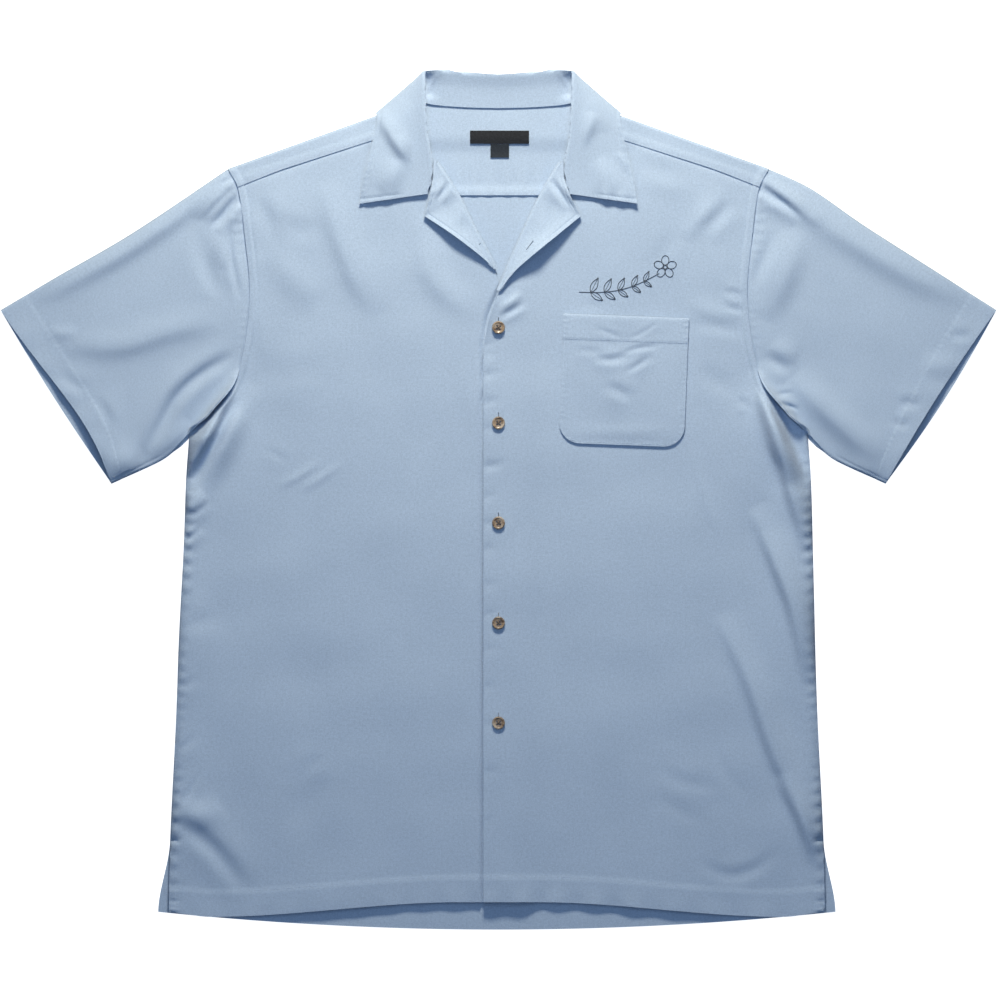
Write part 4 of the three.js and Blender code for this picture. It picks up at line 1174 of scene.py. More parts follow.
@dataclass
class Yoke:
    """The yoke: across the inside of the back, over the shoulders and down to the seams with the fronts."""

    cell: float = 3.6
    neck_y: float = 788.7
    neck_side_rise: float = 3.1
    neck_side_out: float = 70.0
    neck_sections_out: float = 84.0
    shoulder_length: float = 175.0
    stitch_inset: float = 6.8
    seam_gathers: Gathers = Gathers(15, 12, 0.9, 0.9)
    under_neck: float = 2.0
    lower_points: int = 30
    upper_points: int = 18

    def neck_seam_y(self, out: Array) -> Array:
        """The seam where the collar's stand meets the yoke behind the neck."""
        return self.neck_y + self.neck_side_rise * (out / self.neck_side_out) ** 2

    def height(self, x: Array, y: Array) -> Array:
        """The middle of the layer that lies on the ground."""
        gathers = self.seam_gathers.lift(x, y - YOKE_BACK_Y - 11) + 0.5
        seam = LIE.back_seam_rise * fade(y - YOKE_BACK_Y, 3, 10)
        return LIE.back_height + LIE.neck_rise(x, y) + (gathers + seam) * fade(np.abs(x), *LIE.back_seam_shown)

    def lower(self, out_of: Callable[[Array], Array], top: float) -> Array:
        """One section of the lower layer, from its seam with the back up."""
        y = np.linspace(YOKE_BACK_Y, top, self.lower_points)
        out = out_of(y) * np.ones_like(y)
        return np.stack([out, y, self.height(out, y)], axis=1)

    def neck_section(self, out: float) -> Array:
        """A section behind the neck, which ends under the collar's stand."""
        top = float(self.neck_seam_y(out)) + self.under_neck
        y = top - np.linspace(4.4, 1, self.upper_points)
        z = np.full_like(y, float(self.height(np.array(out), np.array(top))))
        end = np.stack([np.full_like(y, out), y, z], axis=1)
        return np.concatenate([self.lower(lambda y: np.array(out), top - 5), end])

    def shoulder_section(self, side: Side, share: float) -> Array:
        """A section over the shoulder and down to the front seam, at a share of the way to the armhole."""

        def out_of(y: Array) -> Array:
            return blend(SHOULDER_NECK[0], LIE.body_edge(y), share)

        top = blend(SHOULDER_NECK[1], SHOULDER_TIP[1], share)
        seam = blend(YOKE_FRONT_NECK[1], YOKE_FRONT_TIP[1], share)
        fold_out = float(out_of(np.array(top)))
        neck_rise = float(LIE.neck_rise(np.array(fold_out), np.array(top)))
        middle = (LIE.back_height + LIE.front_height) / 2 + neck_rise
        turn = np.array([[fold_out, top - 1.2, middle - 0.6], [fold_out, top - CLOTH / 2, middle]])
        beside_seam = np.linspace(seam + 8, seam, self.upper_points - 11)
        y = np.concatenate([[top - 1.2], np.linspace(top - 2.6, seam + 9, 8), beside_seam])
        out = out_of(y)
        z = LIE.body_height(side.value * out, y) + LIE.yoke_rise * fade(y - seam, 4, 10)
        z[0] = middle + 0.6 + (z[1] - middle - 0.6) * 0.5
        return np.concatenate([self.lower(out_of, top - 3), turn, np.stack([out, y, z], axis=1)])

    def half(self, side: Side) -> Array:
        """The sections of one half, from the centre out."""
        last = self.neck_sections_out
        necks = [self.neck_section(out) for out in np.linspace(0, last, int(last / self.cell))]
        shares = spaced(self.shoulder_length, self.cell, 1, 1.5, 8)
        return np.array(necks + [self.shoulder_section(side, share) for share in shares])

    def build(self, finishes: Finishes, stitches: StitchTree) -> None:
        """Makes the yoke and the stitches beside its seams."""
        right, left = self.half(Side.RIGHT), self.half(Side.LEFT)
        right[..., 0] *= -1
        points = np.concatenate([right[::-1], left[1:]])
        yoke = cloth_piece("back_yoke", [ClothGrid(points)], finishes.cloth, "yoke")
        lines = []
        for side in Side:
            y = np.linspace(YOKE_FRONT_TIP[1] + 2, SHOULDER_TIP[1] - 3, 14)
            plan = np.stack([side.value * (LIE.body_edge(y) - self.stitch_inset), y], axis=1)
            lines.append(line_on(plan, LIE.body_height, STITCH_PROUD))
        sewn = stitches.sew("yoke_stitches", lines, StitchKind.SEAM, finishes.thread)


# ---- Fronts ----
LAPEL_CORNER_ROLL_Y = 701.0
GORGE = ((62.8, 721.5), (62.2, 740.7))


@dataclass
class Front:
    """One front with its lapel turned back, and the facing that shows on the lapel."""

    side: Side
    break_y: float
    lapel_lift: float
    lapel_edge: tuple[Row, ...]
    notch: Row
    roll_radius: float = 1.1
    cell: float = 2.65
    chest_y: float = 505.0
    low_length: float = 470.0
    high_length: float = 248.0
    width: float = 328.0
    edge_inset: float = 4.2
    groove_depth: float = 0.5
    groove_width: float = 1.1
    edge_bow: float = 1.35
    full_reach: float = 20.0
    narrowest_stitched: float = 14.0
    flat_points: int = 60
    mark: tuple[Row, Row] = ((27, 653), (33, 661))

    def height(self, x: Array, y: Array) -> Array:
        """The middle of the front."""
        return LIE.front_height_at(self.side, x, y)

    def panel(self) -> ClothGrid:
        """The flat part, from its side seam and armhole to its edge and the roll of its lapel."""
        hem, mid = (FRONT_HEM_CORNER[0], FRONT_HEM_CENTRE), (UNDERARM[1], self.chest_y)
        top = (YOKE_FRONT_TIP[1] + LIE.tuck, YOKE_FRONT_NECK[1] + LIE.tuck)
        low = spaced(self.low_length, self.cell, 1, 1.0, 12)
        high = spaced(self.high_length, self.cell)[1:]
        outer = np.concatenate([blend(hem[0], mid[0], low), blend(mid[0], top[0], high)])[:, None]
        inner = np.concatenate([blend(hem[1], mid[1], low), blend(mid[1], top[1], high)])[:, None]
        t = spaced(self.width, self.cell, 1, 1.1, 9)[None, :]
        out = blend(LIE.body_edge(outer), LIE.front_edge(self.side, inner), t)
        pull = fade(inner, hem[1], UNDERARM[1] / 2)
        y = blend(outer, inner, t) + (LIE.front_hem_y(out) - blend(hem[0], hem[1], t)) * pull
        x = self.side.value * out
        thick = np.where(inner[:, 0] - hem[1] <= BODY_HEM, BODY_HEM_CLOTH, CLOTH)
        return ClothGrid(np.stack([x, y, self.height(x, y)], axis=2), thick, upright=True)

    def rim(self) -> Array:
        """The lapel's edge from the break up to the corner, the notch and the gorge.

        Returns:
            Rows of (out, y, height of the roll's end, raise).
        """
        t = np.linspace(0, 1, 46)
        edge = spline(self.lapel_edge, t)
        roll_y = blend(self.break_y, LAPEL_CORNER_ROLL_Y, t)
        raised = 0.14 + 0.86 * np.sin(math.pi * np.minimum(0.14 + 0.83 * t**0.8, 0.96)) ** 1.2
        rows = np.column_stack([edge, roll_y, raised])
        rest = [(*self.notch, 712, 0.3), (*GORGE[0], 724, 0.12), (*GORGE[1], 735, 0.0)]
        for row in rest:
            rows = np.concatenate([rows, blend(rows[-1], np.array(row), np.linspace(0, 1, 9)[1:, None])])
        return rows

    def roll_at(self, roll_y: float) -> tuple[Array, Array]:
        """A point of the lapel's roll, and the direction square to the roll, both as (out, y)."""
        start = np.array([float(LIE.front_edge(self.side, np.array(roll_y))), roll_y])
        along = unit(np.array([float(LIE.front_edge(self.side, np.array(roll_y + 2))) - start[0], 2.0]))
        return start, np.array([along[1], -along[0]])

    def leaf_relief(self, flat: Array, share: Array, reach: float, lift: float) -> Array:
        """The lapel's rise towards its edge, its gathers, its folds and the groove of its topstitching."""
        full = min(reach / self.full_reach, 1)
        from_edge = (1 - share) * reach
        sign = self.side.value
        rise = self.edge_bow * self.lapel_lift * lift * share**1.4 * full
        gathers = Gathers(8, 6, 0.3 * full, sign).lift(np.full_like(share, flat[-1, 1]), from_edge)
        folds = folds_lift(LAPEL_FOLDS, sign * flat[:, 0], flat[:, 1]) * full
        groove = self.groove_depth * bell(from_edge - self.edge_inset, self.groove_width) * full
        return rise + gathers + folds - groove

    def lapel(self, layer: int) -> ClothGrid:
        """One layer of the lapel: 0 is the front itself and 1 the facing on it."""
        roll = self.roll_radius + STEP * layer
        sign = self.side.value
        angle = math.pi * np.linspace(-0.5 if layer == 0 else -0.35, 0.5, 11)
        share = 1 - (1 - np.linspace(0, 1, self.flat_points)[1:]) ** 1.4
        rows = []
        for out, y, roll_y, lift in self.rim():
            start, away = self.roll_at(roll_y)
            base = float(self.height(np.array(sign * start[0]), np.array(start[1])))
            turn = start - roll * np.cos(angle)[:, None] * away
            turn_z = base + self.roll_radius + roll * np.sin(angle)
            reach = math.dist(start, (out, y))
            flat = blend(start, np.array([out, y]), share[:, None])
            flat_z = base + self.roll_radius + roll + self.leaf_relief(flat, share, reach, lift)
            plan, z = np.concatenate([turn, flat]), np.concatenate([turn_z, flat_z])
            if layer == 0:
                plan, z = np.concatenate([[start + 1.6 * away], plan]), np.concatenate([[base], z])
            rows.append(np.column_stack([sign * plan[:, 0], plan[:, 1], z]))
        return ClothGrid(np.array(rows), CLOTH - 0.1 if layer == 0 else CLOTH)

    def seam_lines(self) -> list[Array]:
        """The stitched lines of the front: its hem, the slit at its side and the seam allowance at the armhole."""
        sign = self.side.value
        out = np.linspace(-OVERLAP + 2, 306, 260)
        hem = np.stack([sign * out, LIE.front_hem_y(out) + BODY_HEM], axis=1)
        y = np.linspace(22, VENT_TOP + 4, 50)
        slit = np.stack([sign * (LIE.body_edge(y) - LIE.vent_stitch), y], axis=1)
        y = np.linspace(UNDERARM[1] + 12, YOKE_FRONT_TIP[1] - 2, 160)
        inset = LIE.armhole_stitch * LIE.armhole_slant(y)
        armhole = np.stack([sign * (out_at(ARMHOLE, y) - inset), y], axis=1)
        return [line_on(line, self.height, STITCH_SUNK) for line in (hem, slit, armhole)]

    def lapel_lines(self, facing: ClothGrid) -> list[Array]:
        """The stitched line inside the lapel's free edge."""
        line = []
        for row in facing.points[2:, ::-1]:
            run = lengths_along(row[:, :2])
            if run[-1] > self.narrowest_stitched:
                line.append([np.interp(self.edge_inset, run, row[:, axis]) for axis in range(3)])
        return [np.array(line) + [0, 0, CLOTH / 2 + STITCH_PROUD]]

    def mark_line(self, facing: ClothGrid) -> Array:
        """The slit of the lapel's buttonhole, or the thread of a button's tack, on the facing."""
        plan = blend(*np.array(self.mark, float), np.linspace(0, 1, 12)[:, None])
        cloth = facing.points[:, 12:].reshape(-1, 3)
        near = [cloth[np.argmin(np.hypot(*(cloth[:, :2] - point).T)), 2] for point in plan]
        return np.column_stack([plan, np.full(12, max(near) + CLOTH / 2 + 0.1)])

    def build(self, finishes: Finishes, stitches: StitchTree) -> None:
        """Makes the front, its facing and their stitches."""
        word = self.side.name.lower()
        front = cloth_piece(f"front_{word}", [self.panel(), self.lapel(0)], finishes.cloth)
        turned = self.lapel(1)
        facing = cloth_piece(f"facing_{word}", [turned], finishes.cloth)
        lines = self.seam_lines() + self.lapel_lines(turned)
        sewn = stitches.sew(f"front_{word}_stitches", lines, StitchKind.EDGE, finishes.thread)
        stitches.sew(f"lapel_mark_{word}", [self.mark_line(turned)], StitchKind.FINE, finishes.motif)


# ---- Sleeves ----
@dataclass
class Sleeve:
    """A sleeve pressed flat: a tube that is folded at the shoulder and under the arm."""

    side: Side
    bow_depth: float
    bow_skew: float
    bulge: float
    top: tuple[Row, ...]
    under: tuple[Row, ...] = (UNDERARM, (305.3, 464.3), (323.5, 448.9), (371.5, 428.1))
    length: float = 250.0
    seam_run: float = 230.0
    cloth_length: float = 240.0
    half_round: float = 252.0
    hem: float = 26.0
    hem_step: float = 0.1
    hem_tilt: float = 0.8
    shoulder_gap: float = 0.45
    underarm_gap: float = 2.2
    tuck: float = 2.2
    lip: float = 17.0
    lip_reach: float = 18.0
    under_groove: float = 1.8
    mouth: float = 5.6
    mouth_skew: float = 4.0
    loft: float = 2.6
    softness: float = 0.25
    fold_share: float = 0.014
    cuff_width: float = 200.0
    cap_drags: Gathers = Gathers(9, 10, 0.4, 1.7)
    cap_gathers: Gathers = Gathers(4.2, 3, 0.12, 0.4)
    lip_gathers: Gathers = Gathers(6, 9, 2.4, 0.2)
    hem_gathers: Gathers = Gathers(5.6, 4, 0.25, 0.9)
    hem_waves: Gathers = Gathers(30, 18, 0.9, 2.9)
    under_points: int = 60
    seam_groove: float = 1.4
    cell: float = 2.0

    def plan(self, a: Array, t: Array, upper: bool) -> Array:
        """Where the sleeve lies, at shares from the armhole to the cuff and from the top fold to the underarm."""
        y = blend(SHOULDER_TIP[1], UNDERARM[1], t)
        armhole = np.stack([out_at(ARMHOLE, y), y], axis=-1)
        along = unit(np.gradient(armhole, axis=0))
        square = np.stack([-along[:, 1], along[:, 0]], axis=-1)
        gap = blend(self.shoulder_gap, self.underarm_gap, t**5)
        if upper:
            gap = gap - self.tuck * smooth(t, 0, 0.06) * fade(t, 0.8, 0.92)
        armhole = armhole + square * gap[:, None]
        start, end = np.array(self.top[-1]), np.array(self.under[-1])
        inwards = unit(np.array([end[1] - start[1], start[0] - end[0]]))
        bow = self.bow_depth * np.sin(math.pi * t**self.bow_skew) if upper else np.zeros_like(t)
        bow -= 0 if upper else self.bulge * np.sin(math.pi * t)
        cuff = blend(start, end, t[:, None]) + inwards * bow[:, None]
        flat = blend(armhole[None], cuff[None], a[:, None, None])
        edges = [spline(rows, a) for rows in (self.top, self.under)]
        bends = [edge - blend(edge[0], edge[-1], a[:, None]) for edge in edges]
        flat = flat + bends[0][:, None] * ((1 - t) ** 2)[None, :, None] + bends[1][:, None] * (t**16)[None, :, None]
        across = unit(edges[1] - edges[0])
        tuck = CLOTH / 2 * (fade(t, 0, 0.02) - smooth(t, 0.98, 1))
        return flat + across[:, None] * tuck[None, :, None]

    def cuff_distance(self, a: Array) -> Array:
        """The distance up from the cuff."""
        return (1 - a) * self.length

    def upper_height(self, a: Array, t: Array, plan: Array) -> Array:
        """The middle of the upper layer."""
        x, y = self.side.value * plan[..., 0], plan[..., 1]
        a, t = a[:, None], t[None, :]
        spread = np.sin(math.pi * t)
        from_seam = a * self.seam_run
        from_under = (1 - t) * self.half_round
        seam = (LIE.armhole_lift(y) - 0.1) * (1 - a) ** 2
        mouth = self.mouth * smooth(a, 0.4, 1) * np.sin(math.pi * t**self.mouth_skew) ** 0.8
        loft = self.loft * spread**0.7 * (1 - np.exp(-from_seam / 16)) * (1 - 0.6 * smooth(a, 0.6, 1))
        at_lip = smooth(t, 0.73, 0.88)
        lip = self.lip * at_lip * np.exp(-from_seam / self.lip_reach) * smooth(from_seam, 0, 2)
        lip *= 1 - np.exp(-from_under / 4)
        folds = folds_lift(SLEEVE_FOLDS, x, y) + LIE.waviness.lift(x, y) + LIE.crumple.lift(x, y)
        folds += self.cap_drags.lift(y, from_seam - 3) + self.cap_gathers.lift(y, from_seam - 2)
        folds += self.lip_gathers.lift(y, from_seam - 2) * at_lip
        folds -= self.seam_groove * bell(from_seam - 2.6, 1.6) * (1 - at_lip)
        folds -= self.under_groove * bell(from_under - 4.2, 1.1) * smooth(a, 0.4, 0.55)
        down = self.cuff_distance(a)
        hem = self.hem_step * fade(down, self.hem - 1.5, self.hem + 1.5) + self.hem_tilt * fade(down, 0, self.hem)
        run = t * self.cuff_width
        folds += self.hem_gathers.lift(run, down - self.hem) + self.hem_waves.lift(run, down)
        shown = seam + loft + mouth + lip + folds * spread**0.35 * (1 - np.exp(-from_seam / 2.5))
        return LIE.front_height + hem + above_zero(shown, self.softness)

    def grid(self) -> ClothGrid:
        """The middle of the whole tube, down the upper layer and back along the lower one."""
        a = spaced(self.cloth_length, self.cell, 1, 1.0, 8)
        t = spaced(self.half_round, self.cell, 1, 1.6, 6)
        s = np.linspace(1, 0, self.under_points + 2)[1:-1]
        upper, lower = self.plan(a, t, True), self.plan(a, s, False)
        hemmed = self.cuff_distance(a) <= self.hem
        ground = np.where(hemmed, SLEEVE_HEM_CLOTH, CLOTH)[:, None] / 2
        top_z = self.upper_height(a, t, upper)
        close = np.clip(np.minimum(t, 1 - t) / self.fold_share, 0, 1)
        close = np.sqrt(close * (2 - close))
        low_z = np.broadcast_to(ground, top_z.shape)
        middle = (top_z + low_z) / 2
        top_z = middle + (top_z - middle) * close
        z = np.concatenate([top_z, np.broadcast_to(ground, lower.shape[:2])], axis=1)
        plan = np.concatenate([upper, lower], axis=1)
        points = np.concatenate([plan * [self.side.value, 1], z[..., None]], axis=2)
        around = np.concatenate([t, 2 - s]) * self.half_round
        grain = np.stack(np.broadcast_arrays(around[None, :], a[:, None] * self.cloth_length), axis=2)
        return ClothGrid(points, np.where(hemmed, SLEEVE_HEM_CLOTH, CLOTH), grain, around=True)

    def hem_lines(self) -> list[Array]:
        """The stitched line of the cuff's hem."""
        a, t = np.array([0.0, 1 - self.hem / self.length, 1.0]), np.linspace(0.015, 0.985, 200)
        plan = self.plan(a, t, True)
        z = self.upper_height(a, t, plan)[1] + CLOTH / 2 + STITCH_SUNK
        return [np.column_stack([plan[1] * [self.side.value, 1], z])]

    def build(self, finishes: Finishes, stitches: StitchTree) -> None:
        """Makes the sleeve and the stitches of its hem."""
        name = f"sleeve_{self.side.name.lower()}"
        sleeve = cloth_piece(name, [self.grid()], finishes.cloth)
        sewn = stitches.sew(f"{name}_stitches", self.hem_lines(), StitchKind.FAINT, finishes.thread)


# ---- Collar ----
@dataclass
class Collar:
    """The one-piece collar: a stand behind the neck and a fall that turns over into two flat leaves.

    Each row of the table is a section across it, from the front end of a leaf round to the centre back: where it is
    sewn to the neck, the fold along its length and its free edge, each as (out, y, z), and how fast it falls away.
    """

    rows: tuple[Row, ...] = (
        (72, 706, 7.2, 69.3, 706.2, 9, 133.4, 696.9, 6.4, 1.2),
        (70, 722, 7.4, 65, 721.5, 9.6, 130.4, 716, 6.2, 1.2),
        (72, 741, 7.6, 64.4, 740.7, 10.6, 126.2, 735, 6.8, 1.3),
        (84, 768, 7.8, 68.5, 765.7, 12.2, 121, 757, 7, 1.4),
        (88, 786, 7.2, 69.8, 790.7, 13.4, 118, 771, 6.8, 1.5),
        (87, 792, 6.6, 70.8, 812, 13.2, 116.6, 780, 5.6, 1.6),
        (80, 796, 5.6, 70.8, 823.2, 12, 117.4, 783.4, 3.2, 2.2),
        (72, 794, 4.8, 67, 824.8, 11, 113.6, 778.6, 0.8, 4),
        (58, 791.4, 4.7, 54, 825.2, 10.4, 93, 769, 0.8, 5),
        (30, 789.4, 4.7, 30, 822.6, 10.2, 48, 766, 0.8, 5),
        (0, 788.7, 4.7, 0, 820.9, 10.2, 0, 765, 0.8, 5),
    )
    sections: int = 150
    section_points: int = 54
    stand_share: float = 0.93
    stand_bow: float = 1.3
    under_roll: float = 1.6
    pit_depth: float = 3.6
    pit_out: float = 68.0
    pit_reach: float = 8.0
    pit_ridge: float = 0.15
    pit_ys: Row = (782.0, 814.0)
    side_groove: float = 0.55
    end_groove: float = 0.6
    grain_width: float = 90.0
    leaf_lift: float = 3.3
    stitch_inset: float = 4.4

    def section(self, row: Array) -> Array:
        """One section, from the neck seam up the stand, over the fold and down to the free edge."""
        seam, roll, outer, drop = row[0:3], row[3:6], row[6:9], row[9]
        t = np.array([0, 1 / 3, 2 / 3])[:, None]
        stand = blend(seam, roll, t * self.stand_share)
        stand[:, 2] = blend(seam[2], roll[2] - self.under_roll, t[:, 0] ** self.stand_bow)
        t = np.linspace(0, 1, 7)[:, None]
        fall = blend(roll, outer, t)
        fall[:, 2] = outer[2] + (roll[2] - outer[2]) * (1 - t[:, 0]) ** drop
        return spline(np.concatenate([stand, fall]), np.linspace(0, 1, self.section_points))

    def half(self, side: Side) -> Array:
        """The sections of one half, from the front end to the centre back."""
        table = spline(self.rows, np.linspace(0, 1, self.sections), even=False)
        grid = np.array([self.section(row) for row in table])
        run = lengths_along(grid[:, -1])[:, None]
        fall = np.linspace(0, 1, self.section_points)[None, :]
        on_leaf = smooth(fall, 0.35, 0.6) * fade(run, 95, 120)
        width = np.linalg.norm(grid[:, -1, :2] - grid[:, self.section_points // 3, :2], axis=1)[:, None]
        from_edge = (1 - fall) * width * 1.5
        x, y = side.value * grid[..., 0], grid[..., 1]
        lift = folds_lift(COLLAR_FOLDS, x, y) + LIE.waviness.lift(x, y)
        lift += Gathers(7.3, 5, 0.18, 1.1 + side.value).lift(run, from_edge) * smooth(run, 4, 12)
        lift -= self.side_groove * bell(from_edge - self.stitch_inset, 1.1)
        lift -= self.end_groove * bell(run - self.stitch_inset, 1.4)
        lift += Gathers(14, 8, 0.7, 0.5 + side.value).lift(grid[..., 0], run)
        lift += self.leaf_lift * (0.75 + 0.25 * np.sin(run / 13 + side.value)) * fade(run, 10, 95)
        grid[..., 2] += lift * on_leaf
        on_stand = smooth(fall, 0.02, 0.1) * fade(fall, 0.24, 0.34)
        out, y = grid[..., 0], grid[..., 1]
        ridge_out = 60 + (819 - y) * 0.62
        pit = bell(out - self.pit_out, self.pit_reach) - self.pit_ridge * bell(out - ridge_out, 2.2)
        grid[..., 2] -= self.pit_depth * pit * on_stand * smooth(y, *self.pit_ys)
        grid[..., 2] = np.maximum(grid[..., 2], CLOTH / 2 + 0.05)
        grid[..., 0] *= side.value
        return grid

    def stitch_line(self, half: Array) -> Array:
        """The topstitching beside the free edge of one half, and across the end of its leaf."""
        step = np.linalg.norm(np.diff(half, axis=1), axis=2)
        from_edge = np.cumsum(step[:, ::-1], axis=1)[:, ::-1]
        index = np.argmin(np.abs(from_edge - self.stitch_inset), axis=1)
        side = half[np.arange(len(half)), index]
        run = lengths_along(side)
        first = int(np.searchsorted(run, self.stitch_inset))
        last = int(np.searchsorted(run, 104))
        end = half[first, self.section_points // 2 : index[first] + 1]
        line = np.concatenate([end, side[first:last]])
        return line + [0, 0, COLLAR_CLOTH / 2 + STITCH_PROUD]

    def build(self, finishes: Finishes, stitches: StitchTree) -> None:
        """Makes the collar and its topstitching."""
        right, left = self.half(Side.RIGHT), self.half(Side.LEFT)
        points = np.concatenate([right, left[::-1][1:]])
        rows, columns = points.shape[:2]
        run = lengths_along(points[:, columns // 3])
        across = np.linspace(0, self.grain_width, columns)
        grain = np.stack(np.broadcast_arrays(run[:, None], across[None, :]), axis=2)
        collar = cloth_piece("collar", [ClothGrid(points, COLLAR_CLOTH, grain)], finishes.cloth)
        lines = [self.stitch_line(right), self.stitch_line(left)]
        x = np.linspace(-58, 58, 60)
        below_fold = 816.2 + 4.0 * (np.abs(x) / 56) ** 1.6
        lines.append(np.column_stack([x, below_fold, np.full_like(x, 9.7)]))
        sewn = stitches.sew("collar_stitches", lines, StitchKind.EDGE, finishes.thread)


# ---- Pocket and labels ----
@dataclass
class Patch:
    """A flat piece laid on another, round at its two lower corners where it has a radius."""

    out: float
    y: float
    width: float
    height: float
    under: Callable[[Array, Array], Array]
    turn: float = 0.0
    radius: float = 0.0
    cloth: float = CLOTH
    cell: float = 1.6
    clearance: float = GAP + 0.15

    def place(self, along: Array, up: Array) -> tuple[Array, Array]:
        """Where a point of the patch lies, given across it from its middle and up from its lower edge."""
        angle = math.radians(self.turn)
        rise = up - self.height / 2
        x = self.out + along * math.cos(angle) - rise * math.sin(angle)
        return x, self.y + along * math.sin(angle) + rise * math.cos(angle)

    def half_width(self, up: Array, inset: float = 0.0) -> Array:
        """Half the width at a height over the lower edge, inside an inset."""
        radius = max(self.radius - inset, 0.01)
        corner = np.clip(radius - (up - inset), 0, radius)
        return self.width / 2 - inset - radius + np.sqrt(radius**2 - corner**2)

    def level(self, x: Array, y: Array) -> Array:
        """The middle of the patch where it lies flat on what is under it."""
        return self.under(x, y) + CLOTH / 2 + self.clearance + self.cloth / 2

    def grid(self, relief: Callable[[Array, Array], Array] | None = None) -> ClothGrid:
        """The middle of the patch.

        Args:
            relief: What to add to its height, given across it from its middle and up from its lower edge.
        """
        up = spaced(self.height, self.cell, 1, 1.0, 4) * self.height
        if self.radius:
            round_the_corner = self.radius * (1 - np.cos(np.linspace(0, math.pi / 2, 14)))
            up = np.unique(np.concatenate([round_the_corner, up[up > self.radius]]))
        share = spaced(self.width, self.cell, 1, 1.0, 4) * 2 - 1
        along = self.half_width(up)[:, None] * share[None, :]
        up = up[:, None] * np.ones_like(along)
        x, y = self.place(along, up)
        z = self.level(x, y) + (relief(along, up) if relief else 0)
        return ClothGrid(np.stack([x, y, z], axis=2), self.cloth, np.stack([along, up], axis=2), upright=True)


@dataclass
class Pocket:
    """The chest pocket, with its turned-down mouth and tacked corners."""

    patch: Patch
    mouth_hem: float = 24.0
    edge_inset: float = 1.8
    tack_width: float = 6.2
    body_loft: float = 0.3
    hem_step: float = 0.5
    mouth_bow: float = 1.2
    mouth_bow_width: float = 116.0
    mouth_edge: float = 0.8
    sink: float = 0.25
    edge_gathers: Gathers = Gathers(5.4, 4, 0.22, 0.6)
    hem_gathers: Gathers = Gathers(6, 4, 0.2, 1.9)

    def relief(self, along: Array, up: Array) -> Array:
        """The pocket's own folds, the thicker cloth of its mouth and the gathers of its stitched edge."""
        x, y = self.patch.place(along, up)
        from_side = self.patch.half_width(up) - np.abs(along)
        from_edge, from_mouth = np.minimum(from_side, up), self.patch.height - up
        run = np.where(up < from_side, along, up)
        body = smooth(from_edge, 1.5, 9)
        lift = folds_lift(POCKET_FOLDS, x, y) * body + self.body_loft * body
        lift += self.hem_step * fade(from_mouth, self.mouth_hem - 1.2, self.mouth_hem + 1.2)
        bow = np.sin(math.pi * np.clip(along / self.mouth_bow_width + 0.5, 0, 1)) ** 2
        lift += self.mouth_bow * fade(from_mouth, 0, 26) * bow
        lift += self.mouth_edge * (1 - np.exp(-from_mouth / 1.5)) - self.sink
        lift += self.edge_gathers.lift(run, from_edge - self.edge_inset)
        lift += self.hem_gathers.lift(along, self.mouth_hem - from_mouth)
        return np.maximum(lift, -0.3)

    def lines(self) -> list[Array]:
        """The stitched lines: round the edge, along the mouth's hem and round each tack."""
        height, inset = self.patch.height, self.edge_inset
        sweep = np.linspace(0, math.pi / 2, 12)
        radius, half = self.patch.radius - inset, self.patch.width / 2 - inset
        corner = np.stack([half - radius + radius * np.sin(sweep), inset + radius * (1 - np.cos(sweep))], axis=1)
        right = np.concatenate([[(0, inset)], corner, [(half, up) for up in np.linspace(22, height - 0.5, 40)]])
        hem_up = height - self.mouth_hem
        hem = np.stack([np.linspace(-half, half, 60), np.full(60, hem_up)], axis=1)
        tack = half - self.tack_width
        bar = np.array([(half, height - 1.2), (tack, height - 1.2), (tack, hem_up + 10), (tack, hem_up)])
        mirror = np.array([-1, 1])
        lines = []
        for plan in (right, right * mirror, hem, bar, bar * mirror):
            share = np.linspace(0, 1, 6)[:, None]
            fine = np.concatenate([blend(start, end, share) for start, end in zip(plan, plan[1:])])
            x, y = self.patch.place(fine[:, 0], fine[:, 1])
            z = self.patch.level(x, y) + self.relief(fine[:, 0], fine[:, 1]) + CLOTH / 2 + STITCH_SUNK
            lines.append(np.column_stack([x, y, z]))
        return lines

    def build(self, finishes: Finishes, stitches: StitchTree) -> None:
        """Makes the pocket and its stitches."""
        pocket = cloth_piece("pocket", [self.patch.grid(self.relief)], finishes.cloth)
        sewn = stitches.sew("pocket_stitches", self.lines(), StitchKind.EDGE, finishes.thread)


@dataclass
class NeckLabels:
    """The woven neck label, left bare, and the small tab that hangs from under it."""

    label: Patch
    tab: Patch

    def build(self, finishes: Finishes) -> None:
        """Makes both."""
        label = cloth_piece("neck_label", [self.label.grid()], finishes.label, slot="label")
        tab = cloth_piece("size_tab", [self.tab.grid()], finishes.tab, slot="tab")


